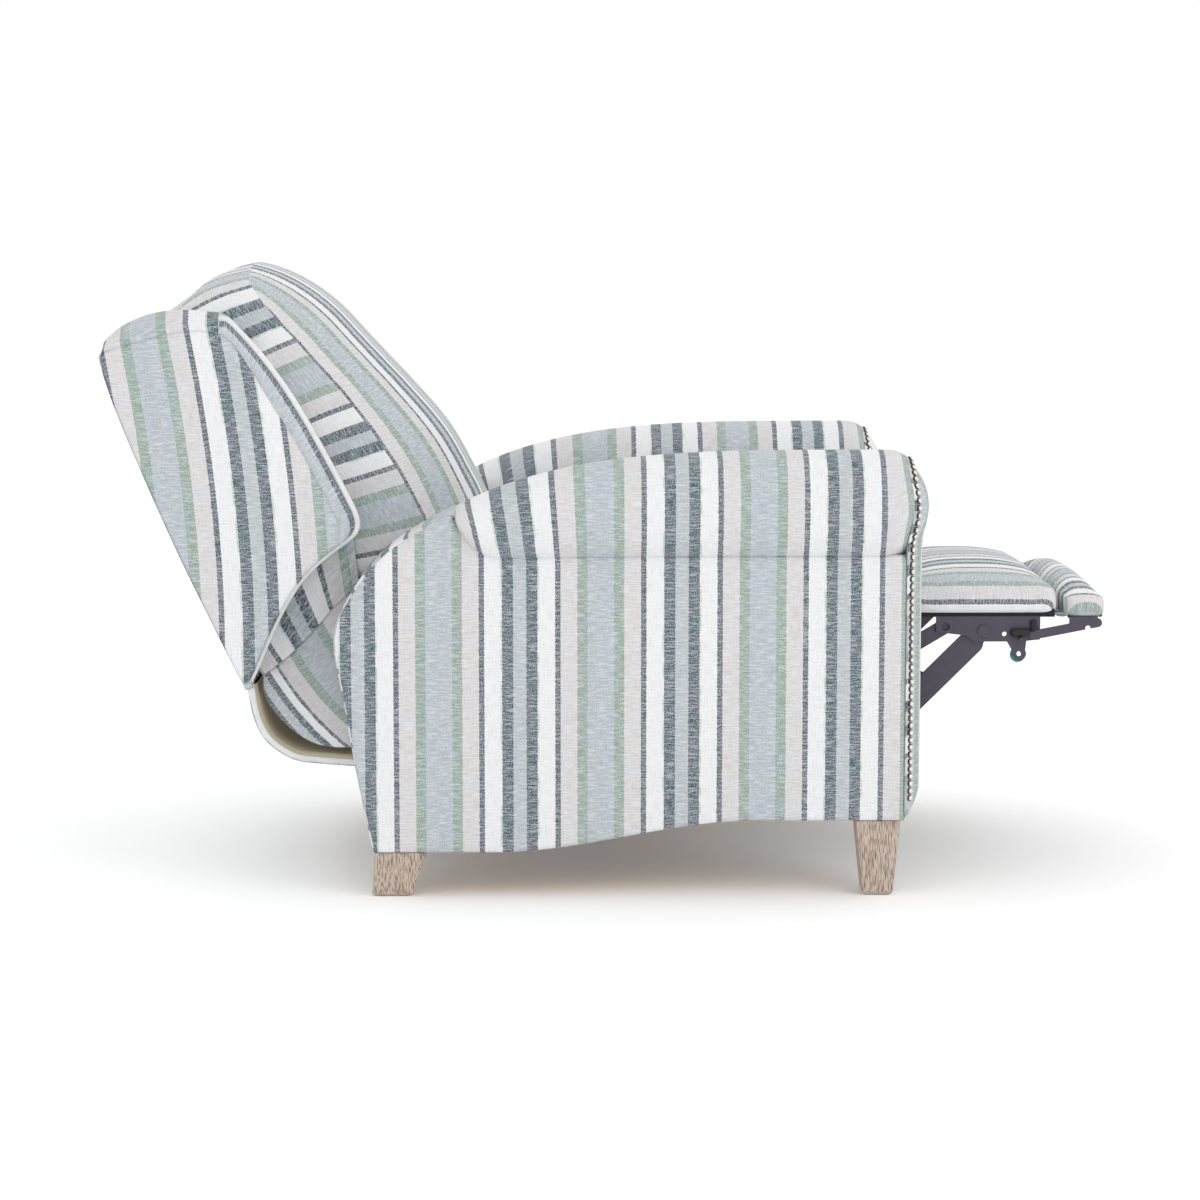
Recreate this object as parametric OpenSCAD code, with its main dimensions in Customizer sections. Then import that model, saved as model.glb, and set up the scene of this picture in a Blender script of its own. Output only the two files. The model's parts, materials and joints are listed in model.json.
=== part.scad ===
// High-leg push-back recliner with rolled arms, wings, a padded footrest and a folding front pad.
// The chair faces -Y and stands on Z = 0. Side outlines are lists of [forward, height] in millimetres.
// It is drawn with the footrest open and the back part way down.

/* [Seat and arms] */
// Clear width between the arms
seat_space_w = 530; // [510:1:580]
// Width of one rolled arm
arm_w = 145; // [135:1:160]
// Height of the arm tops above the floor
arm_h = 635; // [620:1:660]
// Height of the padded roll at the front of an arm
roll_h = 145; // [135:1:150]
// How much lower the roll is at its rear end
roll_drop = 78; // [60:1:90]
// Forward place of the foremost point of the arm front
arm_front_f = 456; // [450:1:480]
// Forward place of the rearmost point of the arm
arm_rear_f = -379; // [-390:1:-375]
// Thickness of the padded outer and inner arm panels
arm_pad_t = 10; // [8:0.5:12]
// Thickness of the cloth-covered band round the rear of the arm
band_t = 8; // [6:0.5:10]
// How far the roll overhangs the outer panel
roll_overhang = 20; // [15:1:25]
// Wall of the plywood arm box
arm_wall = 15; // [12:1:18]

/* [Nail trim] */
// Spacing of the nail heads
nail_pitch = 10.4; // [10:0.1:12]
// Radius of one nail head
nail_r = 4.2; // [3.5:0.1:4.6]
// Height of one nail head
nail_h = 2.4; // [2:0.1:3]

/* [Legs and cross rails] */
// Height of the front legs
front_leg_h = 109; // [100:1:120]
// Height of the rear legs
rear_leg_h = 64; // [60:1:75]
// Thickness of the cross rails between the arms
rail_t = 40; // [32:1:44]
// Height of the top of both cross rails
rail_top_z = 154; // [150:1:158]
// Radius of the hanger bolts that hold the legs
bolt_r = 4; // [3:0.5:5]

/* [Seat] */
// Thickness of the seat cushion at its sides
cushion_side_h = 88; // [80:1:95]
// Crown of the seat cushion above its sides
cushion_crown = 24; // [15:1:30]
// Height of the top of the seat deck
deck_z = 395; // [394:0.5:397]
// Forward place of the seat cushion's front edge
cushion_front_f = 430; // [420:1:433]
// Forward place of the seat cushion's rear edge
cushion_rear_f = -112; // [-114:1:-100]

/* [Back] */
// Lean of the outside back from upright in the pose that is drawn
back_lean = 24; // [23:0.5:25]
// Length of the flat of the outside back
back_len = 532; // [520:1:550]
// Thickness of the outside back
shell_t = 15; // [12:1:16]
// Width of each wing across the chair
wing_w = 76; // [60:1:80]

/* [Mechanism] */
// Thickness of the steel links and plates
plate_t = 4; // [3:0.25:4.2]
// Spacing of neighbouring steel planes
plane_pitch = 5; // [4.8:0.1:5.4]
// Width of the long link that carries the footrest
long_link_w = 36; // [30:1:38]
// Width of the other links
link_w = 26; // [22:1:28]
// Radius of the rivets and pins
pin_r = 6; // [5:0.5:6.5]
// Clearance of a pin in its hole
pin_gap = 0.3; // [0.2:0.05:0.5]
// Travel of the seat towards the rear when the back is upright
glide_back = 15; // [14.8:0.1:17]
// Travel of the seat towards the front when the back is fully down
glide_front = 25.5; // [25.2:0.1:28]

/* [Footrest] */
// Length of the main pad
pad_len = 234; // [225:1:236]
// Thickness of the footrest boards
board_t = 12; // [10:1:13]
// Height of the main pad's side seam above its board
pad_side_h = 26; // [20:1:32]
// Crown of the main pad above its side seam
pad_crown = 24; // [15:1:28]
// Length of the folding front pad
flipper_len = 61; // [50:1:63]
// Thickness of the folding front pad
flipper_h = 30; // [24:1:34]

/* [Hidden] */

$fn = 40;
// Small gap between neighbours that move on each other
run_gap = 0.4;
// Gap between a fixed bolt or head and the plate that it clamps
fix_gap = 0.1;
// Gap at rest between a soft pad and what stands beside it
soft_gap = 0.3;

// Places across the chair, measured from its middle
arm_in_x = seat_space_w / 2;
arm_out_x = arm_in_x + arm_w;
panel_out_x = arm_out_x - roll_overhang;
box_in_x = arm_in_x + arm_pad_t;
box_out_x = panel_out_x - arm_pad_t;
pad_half_w = arm_in_x - 9;

// Steel planes, each named by its inner face, from the arm inwards
base_plane = arm_in_x - 9;
seat_plane = base_plane - 8;
drive_plane = seat_plane - plane_pitch;
long_plane = drive_plane - plane_pitch;
control_plane = long_plane - plane_pitch;

// Wood parts beside the steel
rail_out_x = control_plane - 19;
rail_w = 24;
post_out_x = drive_plane - 3 - plate_t / 4;
post_w = 25;

// Outside back: where its flat starts, and its direction up the back
back_foot = [-506, 278];
back_up = [-sin(back_lean), cos(back_lean)];
back_fwd = [cos(back_lean), sin(back_lean)];
// A point of the back, given along the back and forward of its outer face
function bk(u, v) = back_foot + u * back_up + v * back_fwd;
back_top = bk(back_len, 0);

// Pivots of the mechanism
back_pivot = [-290, 340];
drive_pivot = [230, 365];
foot_pivot = [560, 364];
long_link_len = 225;
long_link_lift = 45;
knee_pivot = foot_pivot - long_link_len * [cos(long_link_lift), sin(long_link_lift)];
control_pivot = [326.4, 350];
control_end = (foot_pivot + knee_pivot) / 2;
guide_share = 0.605;
guide_pivot = drive_pivot + guide_share * (knee_pivot - drive_pivot);
guide_end = foot_pivot + [-56, 6];
tube_share = 0.35;
tube_centre = drive_pivot + tube_share * (knee_pivot - drive_pivot);
tube_r = 9;
flipper_pivot = foot_pivot + [72, -6];
glide_pin_fs = [-120, 70];
glide_z = 320;
seat_bolt_fs = [-60, 140];
seat_bolt_z = 357;

// Footrest places
board_z = 385;
pad_tip_f = foot_pivot[0] + 114;
pad_rear_f = pad_tip_f - pad_len;
pad_base_z = board_z + board_t;
flipper_rear_f = pad_tip_f + 4;
flipper_tip_f = flipper_rear_f + flipper_len;
flipper_board_t = 6;
flipper_base_z = board_z + flipper_board_t;

// The origin is under the middle of the whole length
mid_f = (flipper_tip_f + back_top[0]) / 2;

// Helpers for outlines
function yz(p) = [mid_f - p[0], p[1]];
function unit(v) = v / norm(v);
function left_of(v) = [-v[1], v[0]];
// An open line moved sideways by d, to the left of its direction
function shifted(path, d) = [
  for (i = [0:len(path) - 1])
    let (a = path[max(i - 1, 0)], b = path[min(i + 1, len(path) - 1)])
      path[i] + d * left_of(unit(b - a))
];
function reversed(list) = [for (i = [len(list) - 1:-1:0]) list[i]];
function smooth(t) = let (c = min(max(t, 0), 1)) c * c * (3 - 2 * c);

// A flat plate cut to a side outline, from x to x + t
module side_plate(x, t) {
  translate([x, 0, 0]) rotate([90, 0, 90]) linear_extrude(t) children();
}
module outline(points) {
  polygon([for (p = points) yz(p)]);
}
// A round pin across the chair
module cross_pin(p, x, length, r) {
  translate([x, mid_f - p[0], p[1]]) rotate([0, 90, 0]) cylinder(r = r, h = length);
}
module disc_at(p, r) {
  translate(yz(p)) circle(r = r);
}
// A straight link with round ends; its sides are a hair narrower, so that they cross the ends cleanly
side_ease = 0.1;
module bar(p, q, w) {
  a = yz(p);
  b = yz(q);
  side_w = w - side_ease;
  translate(a) circle(d = w);
  translate(b) circle(d = w);
  translate(a) rotate(atan2(b[1] - a[1], b[0] - a[0])) translate([0, -side_w / 2]) square([norm(b - a), side_w]);
}
// How far a pin runs into its head and into the plate that carries it
pin_bite = 1;
head_r = 9;
head_t = 2.4;
// A rivet that grows out of the plate face at x0; the near face of its head is at x1
module rivet(p, x0, x1, r = pin_r, r_head = head_r) {
  cross_pin(p, min(x0, x1) - pin_bite, abs(x1 - x0) + 2 * pin_bite, r);
  cross_pin(p, x1 > x0 ? x1 : x1 - head_t, head_t, r_head);
}
// A pin between two heads whose near faces are at x0 and x1
module headed_pin(p, x0, x1) {
  rivet(p, x0, x1);
  cross_pin(p, x0 - head_t, head_t, head_r);
}
// Builds at +X for the left of the chair, mirrored for the right
module on_side(side) {
  if (side > 0) children();
  else mirror([1, 0, 0]) children();
}
module both_sides() {
  children();
  mirror([1, 0, 0]) children();
}

// A closed skin over rings of points; each end is closed to its middle
module skin(rings) {
  n = len(rings[0]);
  m = len(rings);
  middle = function(ring) [for (k = [0:2]) [for (p = ring) 1] * [for (p = ring) p[k]] / n];
  points = concat([for (r = rings) for (p = r) p], [middle(rings[0]), middle(rings[m - 1])]);
  sides = [
    for (i = [0:m - 2]) for (j = [0:n - 1])
      let (a = i * n + j, b = i * n + (j + 1) % n)
        each [[a, b + n, b], [a, a + n, b + n]]
  ];
  ends = [
    for (j = [0:n - 1])
      each [[m * n, j, (j + 1) % n], [m * n + 1, (m - 1) * n + (j + 1) % n, (m - 1) * n + j]]
  ];
  polyhedron(points, concat(sides, ends), convexity = 6);
}
// Sign-keeping power, for rounded boxes
function spow(v, e) = sign(v) * pow(abs(v), e);

// Rings of a cushion that lies flat: half sizes, height, crown, and how far the sides draw in
CUSHION_N = 40;
CUSHION_LEVELS = [
  // share of the side height, inset at that height
  [0, 9], [0.06, 3], [0.2, 0.5], [0.5, 0], [0.8, 0.5], [0.94, 3], [1, 8]
];
CROWN_LEVELS = [0.86, 0.68, 0.48, 0.28, 0.12];
function cushion_point(a, hx, hy, inset, draw) =
  let (
    cx = spow(cos(a), 0.22), cy = spow(sin(a), 0.22), on_x = abs(cos(a)) > abs(sin(a)),
    pull = draw * (1 - pow(on_x ? cy : cx, 2))
  ) [cx * (hx - inset - (on_x ? pull : 0)), cy * (hy - inset - (on_x ? 0 : pull))];
function cushion_ring(hx, hy, z, inset, draw) = [
  for (j = [0:CUSHION_N - 1])
    let (p = cushion_point(360 * (j + 0.5) / CUSHION_N, hx, hy, inset, draw)) [p[0], p[1], z]
];
function cushion_rings(hx, hy, side_h, crown, draw) = concat(
  [for (l = CUSHION_LEVELS) cushion_ring(hx, hy, l[0] * side_h, l[1] * side_h / 88, draw)],
  [
    for (k = CROWN_LEVELS) [
      for (p = cushion_ring(hx, hy, side_h, 8 * side_h / 88, draw))
        [p[0] * k, p[1] * k, side_h + crown * (1 - pow(k, 2.4))]
    ]
  ]
);

// Arm

function arm_bottom(f) = rear_leg_h + (front_leg_h - rear_leg_h) * smooth((f + 150) / 370);
// Rear outline of the arm from its foot up to the rear end of the roll
arm_rear_line = concat(
  [[arm_rear_f + 55, rear_leg_h], [arm_rear_f + 29, 190], [arm_rear_f + 16, 276]],
  [
    for (p = [[1, -285], [0, -263], [7, -233], [29, -195], [51, -165], [75, -140], [106, -119], [135, -101], [166, -85]])
      [arm_rear_f + p[0], arm_h + p[1]]
  ]
);
arm_inner_line = shifted(arm_rear_line, -band_t);
front_pad_t = 24;
box_front_f = arm_front_f - front_pad_t;
seam_z = arm_h - roll_h - 2;
bottom_line = [for (k = [0:12]) let (f = box_front_f + (arm_rear_f + 55 + 8 - box_front_f) * k / 12) [f, arm_bottom(f)]];
line_end = arm_inner_line[len(arm_inner_line) - 1];
// The box and its panels end in a cut under the rear end of the roll
cut_lean = 3;
roll_rear_f = line_end[0] + cut_lean + run_gap;

// Side outline of the arm box and of its panels, above a lower limit
function arm_side_line() = concat(
  arm_inner_line,
  [[line_end[0] + cut_lean, seam_z], [box_front_f, seam_z]],
  bottom_line
);

module arm_frame(side) {
  color("burlywood") on_side(side) difference() {
    side_plate(box_in_x, box_out_x - box_in_x) outline(arm_side_line());
    translate([box_in_x + arm_wall, mid_f - (box_front_f - 34), 134])
      cube([arm_w, box_front_f - 34 - (arm_rear_f + 84), seam_z - 134 - 20]);
    for (leg = LEG_BOLTS) leg_bolt_hole(leg);
  }
}
module arm_outer_panel(side) {
  color("lightsteelblue") on_side(side)
    side_plate(box_out_x, panel_out_x - box_out_x) outline(arm_side_line());
}
module arm_inner_panel(side) {
  inner_low_z = 200;
  color("lightsteelblue") on_side(side) intersection() {
    side_plate(arm_in_x, box_in_x - arm_in_x) outline(arm_side_line());
    translate([0, -1000, inner_low_z]) cube([1000, 2000, 1000]);
  }
}
module arm_band(side) {
  color("gainsboro") on_side(side)
    side_plate(arm_in_x, panel_out_x - arm_in_x) outline(concat(arm_rear_line, reversed(arm_inner_line)));
}

// Height of the roll's top along the arm
function roll_top(f) =
  let (t = (box_front_f - f) / (box_front_f - roll_rear_f)) arm_h - roll_drop * pow(max(t, 0), 4);
ROLL_N = 32;
// One ring of the roll: its place along the arm and its share of the full section
function roll_ring(f, share) =
  let (
    low = seam_z + 2, top = roll_top(f), h = (top - low) / 2, cz = low + h,
    cx = (arm_in_x + arm_out_x) / 2
  ) [
    for (j = [0:ROLL_N - 1])
      let (a = 360 * j / ROLL_N, e = sin(a) < 0 ? 0.72 : 0.95)
        [cx + share * arm_w / 2 * spow(cos(a), e), mid_f - f, cz + (1 - (1 - share) * 0.8) * h * spow(sin(a), e)]
  ];
ROLL_STATIONS = [[0, 0.72], [4, 0.84], [14, 0.93], [40, 0.98], [90, 1], [170, 1], [260, 1], [360, 1], [480, 1]];
module arm_roll(side) {
  color("lightsteelblue") on_side(side) skin(concat(
    [for (s = ROLL_STATIONS) roll_ring(roll_rear_f + s[0], s[1])],
    [roll_ring(box_front_f, 1)]
  ));
}

// Front outline of the arm, a scroll over a straight panel, drawn in by o
scroll_r = roll_h / 2;
scroll_x = (arm_in_x + arm_out_x) / 2;
scroll_z = arm_h - scroll_r;
SCROLL_STEPS = 28;
function neck_angle(o, x) = acos((x - scroll_x) / (scroll_r - o));
function front_line(o) =
  let (
    x0 = box_in_x + o, x1 = panel_out_x - o, z0 = arm_bottom(box_front_f) + o, c = 14,
    a0 = -neck_angle(o, x1), a1 = 360 - neck_angle(o, x0)
  ) concat(
    [
      for (k = [0:SCROLL_STEPS])
        let (a = a0 + (a1 - a0) * k / SCROLL_STEPS)
          [scroll_x + (scroll_r - o) * cos(a), scroll_z + (scroll_r - o) * sin(a)]
    ],
    [for (k = [0:4]) [x0 + c - c * cos(90 * k / 4), z0 + c - c * sin(90 * k / 4)]],
    [for (k = [0:4]) [x1 - c + c * sin(90 * k / 4), z0 + c - c * cos(90 * k / 4)]]
  );
// Steps of the padded front: how far forward of the box, and how far drawn in
edge_f = front_pad_t - 18;
FRONT_STEPS = [[0, 0], [edge_f, 0], [edge_f + 5, 5.5], [edge_f + 7, 9], [edge_f + 12, 11], [edge_f + 16, 17], [edge_f + 18, 26]];
module arm_front(side) {
  color("lightblue") on_side(side) skin([
    for (s = FRONT_STEPS) [for (p = front_line(s[1])) [p[0], mid_f - box_front_f - s[0], p[1]]]
  ]);
}

// One nail head, its back on the XY plane
module nail() {
  cylinder(r1 = nail_r, r2 = nail_r * 0.55, h = nail_h, $fn = 20);
}
// A nail on the slanted border of the arm front, a points outwards round the outline
module border_nail(x, z, a) {
  lift = 0.5;
  tilt = 47;
  translate([x, mid_f - box_front_f - edge_f - 2.6, z]) rotate([0, -a, 0]) rotate([0, 0, -tilt])
    translate([lift, 0, 0]) rotate([0, 90, 0]) nail();
}
module nail_trim(side) {
  o = 2.8;
  x0 = box_in_x + o;
  x1 = panel_out_x - o;
  z0 = arm_bottom(box_front_f) + o + 18;
  a0 = -neck_angle(o, x1);
  a1 = 360 - neck_angle(o, x0);
  neck_z = scroll_z + (scroll_r - o) * sin(a0) - 9;
  neck_in_z = scroll_z + (scroll_r - o) * sin(a1) - 8;
  turns = floor((a1 - a0 - 8) * PI / 180 * (scroll_r - o) / nail_pitch);
  outer = floor((neck_z - z0) / nail_pitch);
  inner = floor((neck_in_z - z0) / nail_pitch);
  color("dimgray") on_side(side) {
    for (k = [0:outer]) border_nail(x1, neck_z - k * nail_pitch, 0);
    for (k = [0:inner]) border_nail(x0, neck_in_z - k * nail_pitch, 180);
    for (k = [0:turns]) {
      a = a0 + 4 + (a1 - a0 - 8) * k / turns;
      border_nail(scroll_x + (scroll_r - o) * cos(a), scroll_z + (scroll_r - o) * sin(a), a);
    }
  }
}

// Legs

leg_w = 62;
leg_foot_w = 46;
front_leg_x = panel_out_x - 6 - leg_w;
FRONT_LEG = [[363, 427], [374, 417]];
REAR_LEG = [[-322, -248], [-327, -270]];
// Each row: forward place, height of the leg top, length of the bolt above it
LEG_BOLTS = [[395, front_leg_h, 18], [-292, rear_leg_h, 40]];
bolt_x = front_leg_x + leg_w / 2;
bolt_depth = 32;
module leg_bolt_hole(leg) {
  translate([bolt_x, mid_f - leg[0], leg[1] - bolt_depth - 1])
    cylinder(r = bolt_r + 0.2, h = bolt_depth + leg[2] + 2);
}
module leg(side, top, foot, h, bolt) {
  color("rosybrown") on_side(side) difference() {
    hull() {
      translate([front_leg_x, mid_f - top[1], h - 1]) cube([leg_w, top[1] - top[0], 1]);
      translate([front_leg_x + (leg_w - leg_foot_w) / 2, mid_f - foot[1], 0])
        cube([leg_foot_w, foot[1] - foot[0], 1]);
    }
    leg_bolt_hole(bolt);
  }
}
module leg_bolts() {
  color("silver") both_sides() for (leg = LEG_BOLTS)
    translate([bolt_x, mid_f - leg[0], leg[1] - bolt_depth]) cylinder(r = bolt_r, h = bolt_depth + leg[2]);
}

// Cross rails and the steel plates that the seat glides on

front_rail_f = 90;
rear_rail_f = -190;
module cross_rail(f, low_z) {
  color("burlywood") translate([-box_in_x, mid_f - f - rail_t, low_z])
    cube([2 * box_in_x, rail_t, rail_top_z - low_z]);
}
base_plate_fs = [-195, 130];
base_plate_top = 342;
flange_w = 20;
module base_side_plate(side) {
  slot_back = glide_back + pin_gap;
  slot_front = glide_front + pin_gap;
  color("dimgray") on_side(side) {
    side_plate(base_plane, plate_t) difference() {
      outline([
        [base_plate_fs[0], rail_top_z], [base_plate_fs[1], rail_top_z],
        [base_plate_fs[1], base_plate_top - 20], [base_plate_fs[1] - 20, base_plate_top],
        [base_plate_fs[0] + 20, base_plate_top], [base_plate_fs[0], base_plate_top - 20]
      ]);
      for (f = glide_pin_fs)
        bar([f - slot_back, glide_z], [f + slot_front, glide_z], 2 * (pin_r + pin_gap));
      outline([[-90, 190], [40, 190], [20, 270], [-70, 270]]);
    }
    translate([base_plane - flange_w, mid_f - base_plate_fs[1], rail_top_z])
      cube([flange_w + plate_t / 2, base_plate_fs[1] - base_plate_fs[0], plate_t]);
  }
}

// Seat

seat_plate_top = 383;
module seat_side_plate(side) {
  color("slategray") on_side(side) side_plate(seat_plane, plate_t) difference() {
    union() {
      disc_at(back_pivot, 20);
      disc_at(control_pivot, 18);
      outline([
        back_pivot + [-8, 18], [back_pivot[0] + 50, seat_plate_top], [control_pivot[0] + 14, seat_plate_top],
        control_pivot + [18, 0], control_pivot + [0, -18], [drive_pivot[0], drive_pivot[1] - 26],
        [150, 302], [back_pivot[0] + 60, 302], back_pivot + [0, -20]
      ]);
    }
    for (p = [back_pivot, control_pivot, drive_pivot]) disc_at(p, pin_r + pin_gap);
    for (f = glide_pin_fs) disc_at([f, glide_z], pin_r + 0.05);
    for (f = seat_bolt_fs) disc_at([f, seat_bolt_z], bolt_r + 0.1);
  }
}
seat_out_x = seat_plane + plate_t;
module seat_pins() {
  color("silver") both_sides() {
    for (f = glide_pin_fs)
      headed_pin([f, glide_z], seat_plane - fix_gap, base_plane + plate_t + run_gap);
    // The inner heads sit beyond the plates that turn on these pins
    headed_pin(back_pivot, post_out_x - run_gap, seat_out_x + fix_gap);
    headed_pin(drive_pivot, drive_plane - run_gap, seat_out_x + fix_gap);
  }
}
module seat_bolts() {
  bolt_end = rail_out_x - rail_w - 4;
  spacer_r = bolt_r + 3;
  color("silver") both_sides() for (f = seat_bolt_fs) {
    cross_pin([f, seat_bolt_z], bolt_end, seat_out_x + pin_bite - bolt_end, bolt_r);
    cross_pin([f, seat_bolt_z], rail_out_x + fix_gap, seat_plane - rail_out_x - 2 * fix_gap, spacer_r);
    cross_pin([f, seat_bolt_z], seat_out_x + fix_gap, head_t, spacer_r + 1);
  }
}
seat_rail_low = 337;
seat_rail_fs = [-200, 380];
module seat_side_rail(side) {
  color("burlywood") on_side(side) difference() {
    translate([rail_out_x - rail_w, mid_f - seat_rail_fs[1], seat_rail_low])
      cube([rail_w, seat_rail_fs[1] - seat_rail_fs[0], seat_plate_top - seat_rail_low]);
    for (f = seat_bolt_fs) cross_pin([f, seat_bolt_z], rail_out_x - rail_w - 10, 60, bolt_r + 0.1);
  }
}
seat_cross_t = 28;
module seat_cross_rail(f) {
  color("burlywood") translate([rail_w - rail_out_x, mid_f - f - seat_cross_t, seat_rail_low])
    cube([2 * (rail_out_x - rail_w), seat_cross_t, seat_plate_top - seat_rail_low]);
}
SPRING_XS = [-136, -68, 0, 68, 136];
wire = 3.4;
spring_half_w = 22;
spring_pitch = 24;
// One zigzag spring lies in the gap between the seat's front and rear rails
module zigzag_spring() {
  f0 = seat_rail_fs[0] + seat_cross_t + wire / 2;
  f1 = seat_rail_fs[1] - seat_cross_t - wire / 2;
  n = floor((f1 - f0) / spring_pitch);
  step = (f1 - f0) / n;
  middle = [for (k = [0:n]) [f0 + k * step, k == 0 || k == n ? 0 : spring_half_w * (k % 2 == 0 ? 1 : -1)]];
  loop = concat(shifted(middle, wire / 2), reversed(shifted(middle, -wire / 2)));
  linear_extrude(wire) polygon([for (p = loop) [p[1], mid_f - p[0]]]);
}
module seat_springs() {
  color("gray") for (x = SPRING_XS) translate([x, 0, seat_plate_top - 12]) zigzag_spring();
}
module seat_deck() {
  color("wheat") translate([-pad_half_w, mid_f - (seat_rail_fs[1] + 30), seat_plate_top])
    cube([2 * pad_half_w, seat_rail_fs[1] + 30 - seat_rail_fs[0], deck_z - seat_plate_top]);
}
module seat_cushion() {
  half = (cushion_front_f - cushion_rear_f) / 2;
  color("lightblue") translate([0, mid_f - cushion_front_f + half, deck_z])
    skin(cushion_rings(pad_half_w, half, cushion_side_h, cushion_crown, 5));
}

// Back

post_v = [40, 75];
post_top_u = back_len - 62;
top_rail_w = 34;
module back_post(side) {
  color("burlywood") on_side(side) side_plate(post_out_x - post_w, post_w)
    outline([bk(20, post_v[0]), bk(20, post_v[1]), bk(post_top_u, post_v[1]), bk(post_top_u, post_v[0])]);
}
module back_rail(u, width, half_x) {
  color("burlywood") side_plate(-half_x, 2 * half_x)
    outline([bk(u, post_v[0]), bk(u, post_v[1]), bk(u + width, post_v[1]), bk(u + width, post_v[0])]);
}
strap_w = 50;
strap_low_u = 120;
strap_pitch = (post_top_u - strap_w - strap_low_u + 20) / 4;
STRAP_US = [for (k = [0:3]) strap_low_u + k * strap_pitch];
strap_t = 2;
module back_webbing() {
  color("darkkhaki") for (u = STRAP_US) side_plate(-post_out_x + 4, 2 * (post_out_x - 4))
    outline([
      bk(u, post_v[1]), bk(u, post_v[1] + strap_t),
      bk(u + strap_w, post_v[1] + strap_t), bk(u + strap_w, post_v[1])
    ]);
}
module back_brackets() {
  color("slategray") both_sides() side_plate(post_out_x, plate_t) difference() {
    union() {
      disc_at(back_pivot, 18);
      outline([bk(28, 42), bk(86, 42), bk(86, 72), back_pivot + [4, 17.5], back_pivot + [-6, -17]]);
    }
    disc_at(back_pivot, pin_r + pin_gap);
  }
}
module back_side_panels() {
  side_t = 5;
  corners = [
    [15, 24], [57, 74], [106, 102], [150, 115], [154, 92], [157, 22],
    [154, -96], [104, -92], [70, -78], [39, -54], [17, -22]
  ];
  color("lightsteelblue") both_sides() side_plate(post_out_x + plate_t + soft_gap, side_t)
    outline([for (p = corners) back_foot + p]);
}
// Outer face of the back from its top edge, down and under to its front lip
shell_line = concat(
  [bk(back_len, 0), bk(back_len / 2, 0), back_foot],
  [for (p = [[-1, -40], [6, -63], [22, -83], [54, -104], [87, -115], [145, -121]]) back_foot + p]
);
shell_half_w = arm_in_x + wing_w - 2.6;
module outside_back() {
  wide = 3;
  inner_line = shifted(shell_line, shell_t);
  part = function(n0, n1) concat(
    [for (i = [n0:n1]) shell_line[i]], [for (i = [n1:-1:n0]) inner_line[i]]
  );
  color("lightsteelblue") {
    side_plate(-shell_half_w, 2 * shell_half_w) outline(part(0, wide - 1));
    side_plate(-pad_half_w, 2 * pad_half_w) outline(part(wide - 1, len(shell_line) - 1));
  }
}
// The wing rises from the outside back and clears the arm with its lower edge
wing_in_x = arm_in_x - 3;
module wing(side) {
  v0 = shell_t;
  color("lightsteelblue") on_side(side) side_plate(wing_in_x, wing_w) outline([
    bk(back_len, v0), bk(back_len, 100), bk(back_len - 14, 160), bk(back_len - 21, 180),
    bk(back_len - 77, 190), bk(back_len - 167, 205), bk(265, 218), bk(180, 237), bk(158, 243),
    bk(148, 240), bk(138, 227), bk(126, 188), bk(112, 145), bk(92, 106), bk(54, 54), bk(10, v0)
  ]);
}
// Padded strip that closes the top of the back between the wings
module back_top_panel() {
  low_u = post_top_u + top_rail_w;
  v1 = post_v[1] + strap_t;
  color("lightsteelblue") side_plate(-wing_in_x, 2 * wing_in_x) outline([
    bk(low_u, shell_t), bk(back_len + 2, shell_t), bk(back_len + 12, 35), bk(back_len + 13, 55),
    bk(back_len + 8, v1), bk(low_u, v1)
  ]);
}

// Inside back cushion: side seam, crown and tilt along the back
BACK_N = 44;
cushion_low_v = post_v[1] + strap_t + soft_gap;
function seam_v(u) = 329 - 0.24 * (u - 128);
function crown_v(u) = 402 - 0.282 * (u - 96);
// Half of the cushion's front, 0 at the middle and 1 at the side
function front_v(u, k) = seam_v(u) + (crown_v(u) - seam_v(u)) * (1 - pow(k, 2.6));
// Each row: place along the back, share of the width, share of the depth, how much the ring tilts
BACK_RINGS = [
  [88, 0.9, 0.86, 0.25], [92, 0.96, 0.94, 0.25], [104, 0.99, 0.985, 0.24], [134, 1, 1, 0.2],
  [190, 0.985, 1, 0.12], [270, 0.98, 1, 0.06], [back_len - 182, 0.98, 1, 0.02],
  [back_len - 102, 0.985, 0.99, 0], [back_len - 52, 0.99, 0.96, -0.02], [back_len - 20, 0.97, 0.9, -0.05],
  [back_len + 2, 0.88, 0.76, -0.08], [back_len + 13, 0.7, 0.56, -0.1], [back_len + 17, 0.45, 0.34, -0.1]
];
function back_ring(row) =
  let (u = row[0], hx = pad_half_w * row[1], low = cushion_low_v, base = seam_v(u) - low) [
    for (j = [0:BACK_N - 1])
      let (
        a = 360 * (j + 0.5) / BACK_N, cx = spow(cos(a), 0.3), cy = spow(sin(a), 0.3),
        k = abs(cx), top = front_v(u, k) - low, mid = base / 2,
        v = cy > 0 ? mid + (top - mid) * cy : mid + mid * cy,
        vv = low + mid + (v - mid) * row[2], p = bk(u - row[3] * (vv - 85), vv)
      ) [hx * cx, mid_f - p[0], p[1]]
  ];
module inside_back_cushion() {
  color("lightblue") skin(reversed([for (row = BACK_RINGS) back_ring(row)]));
}

// Footrest linkage

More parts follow.
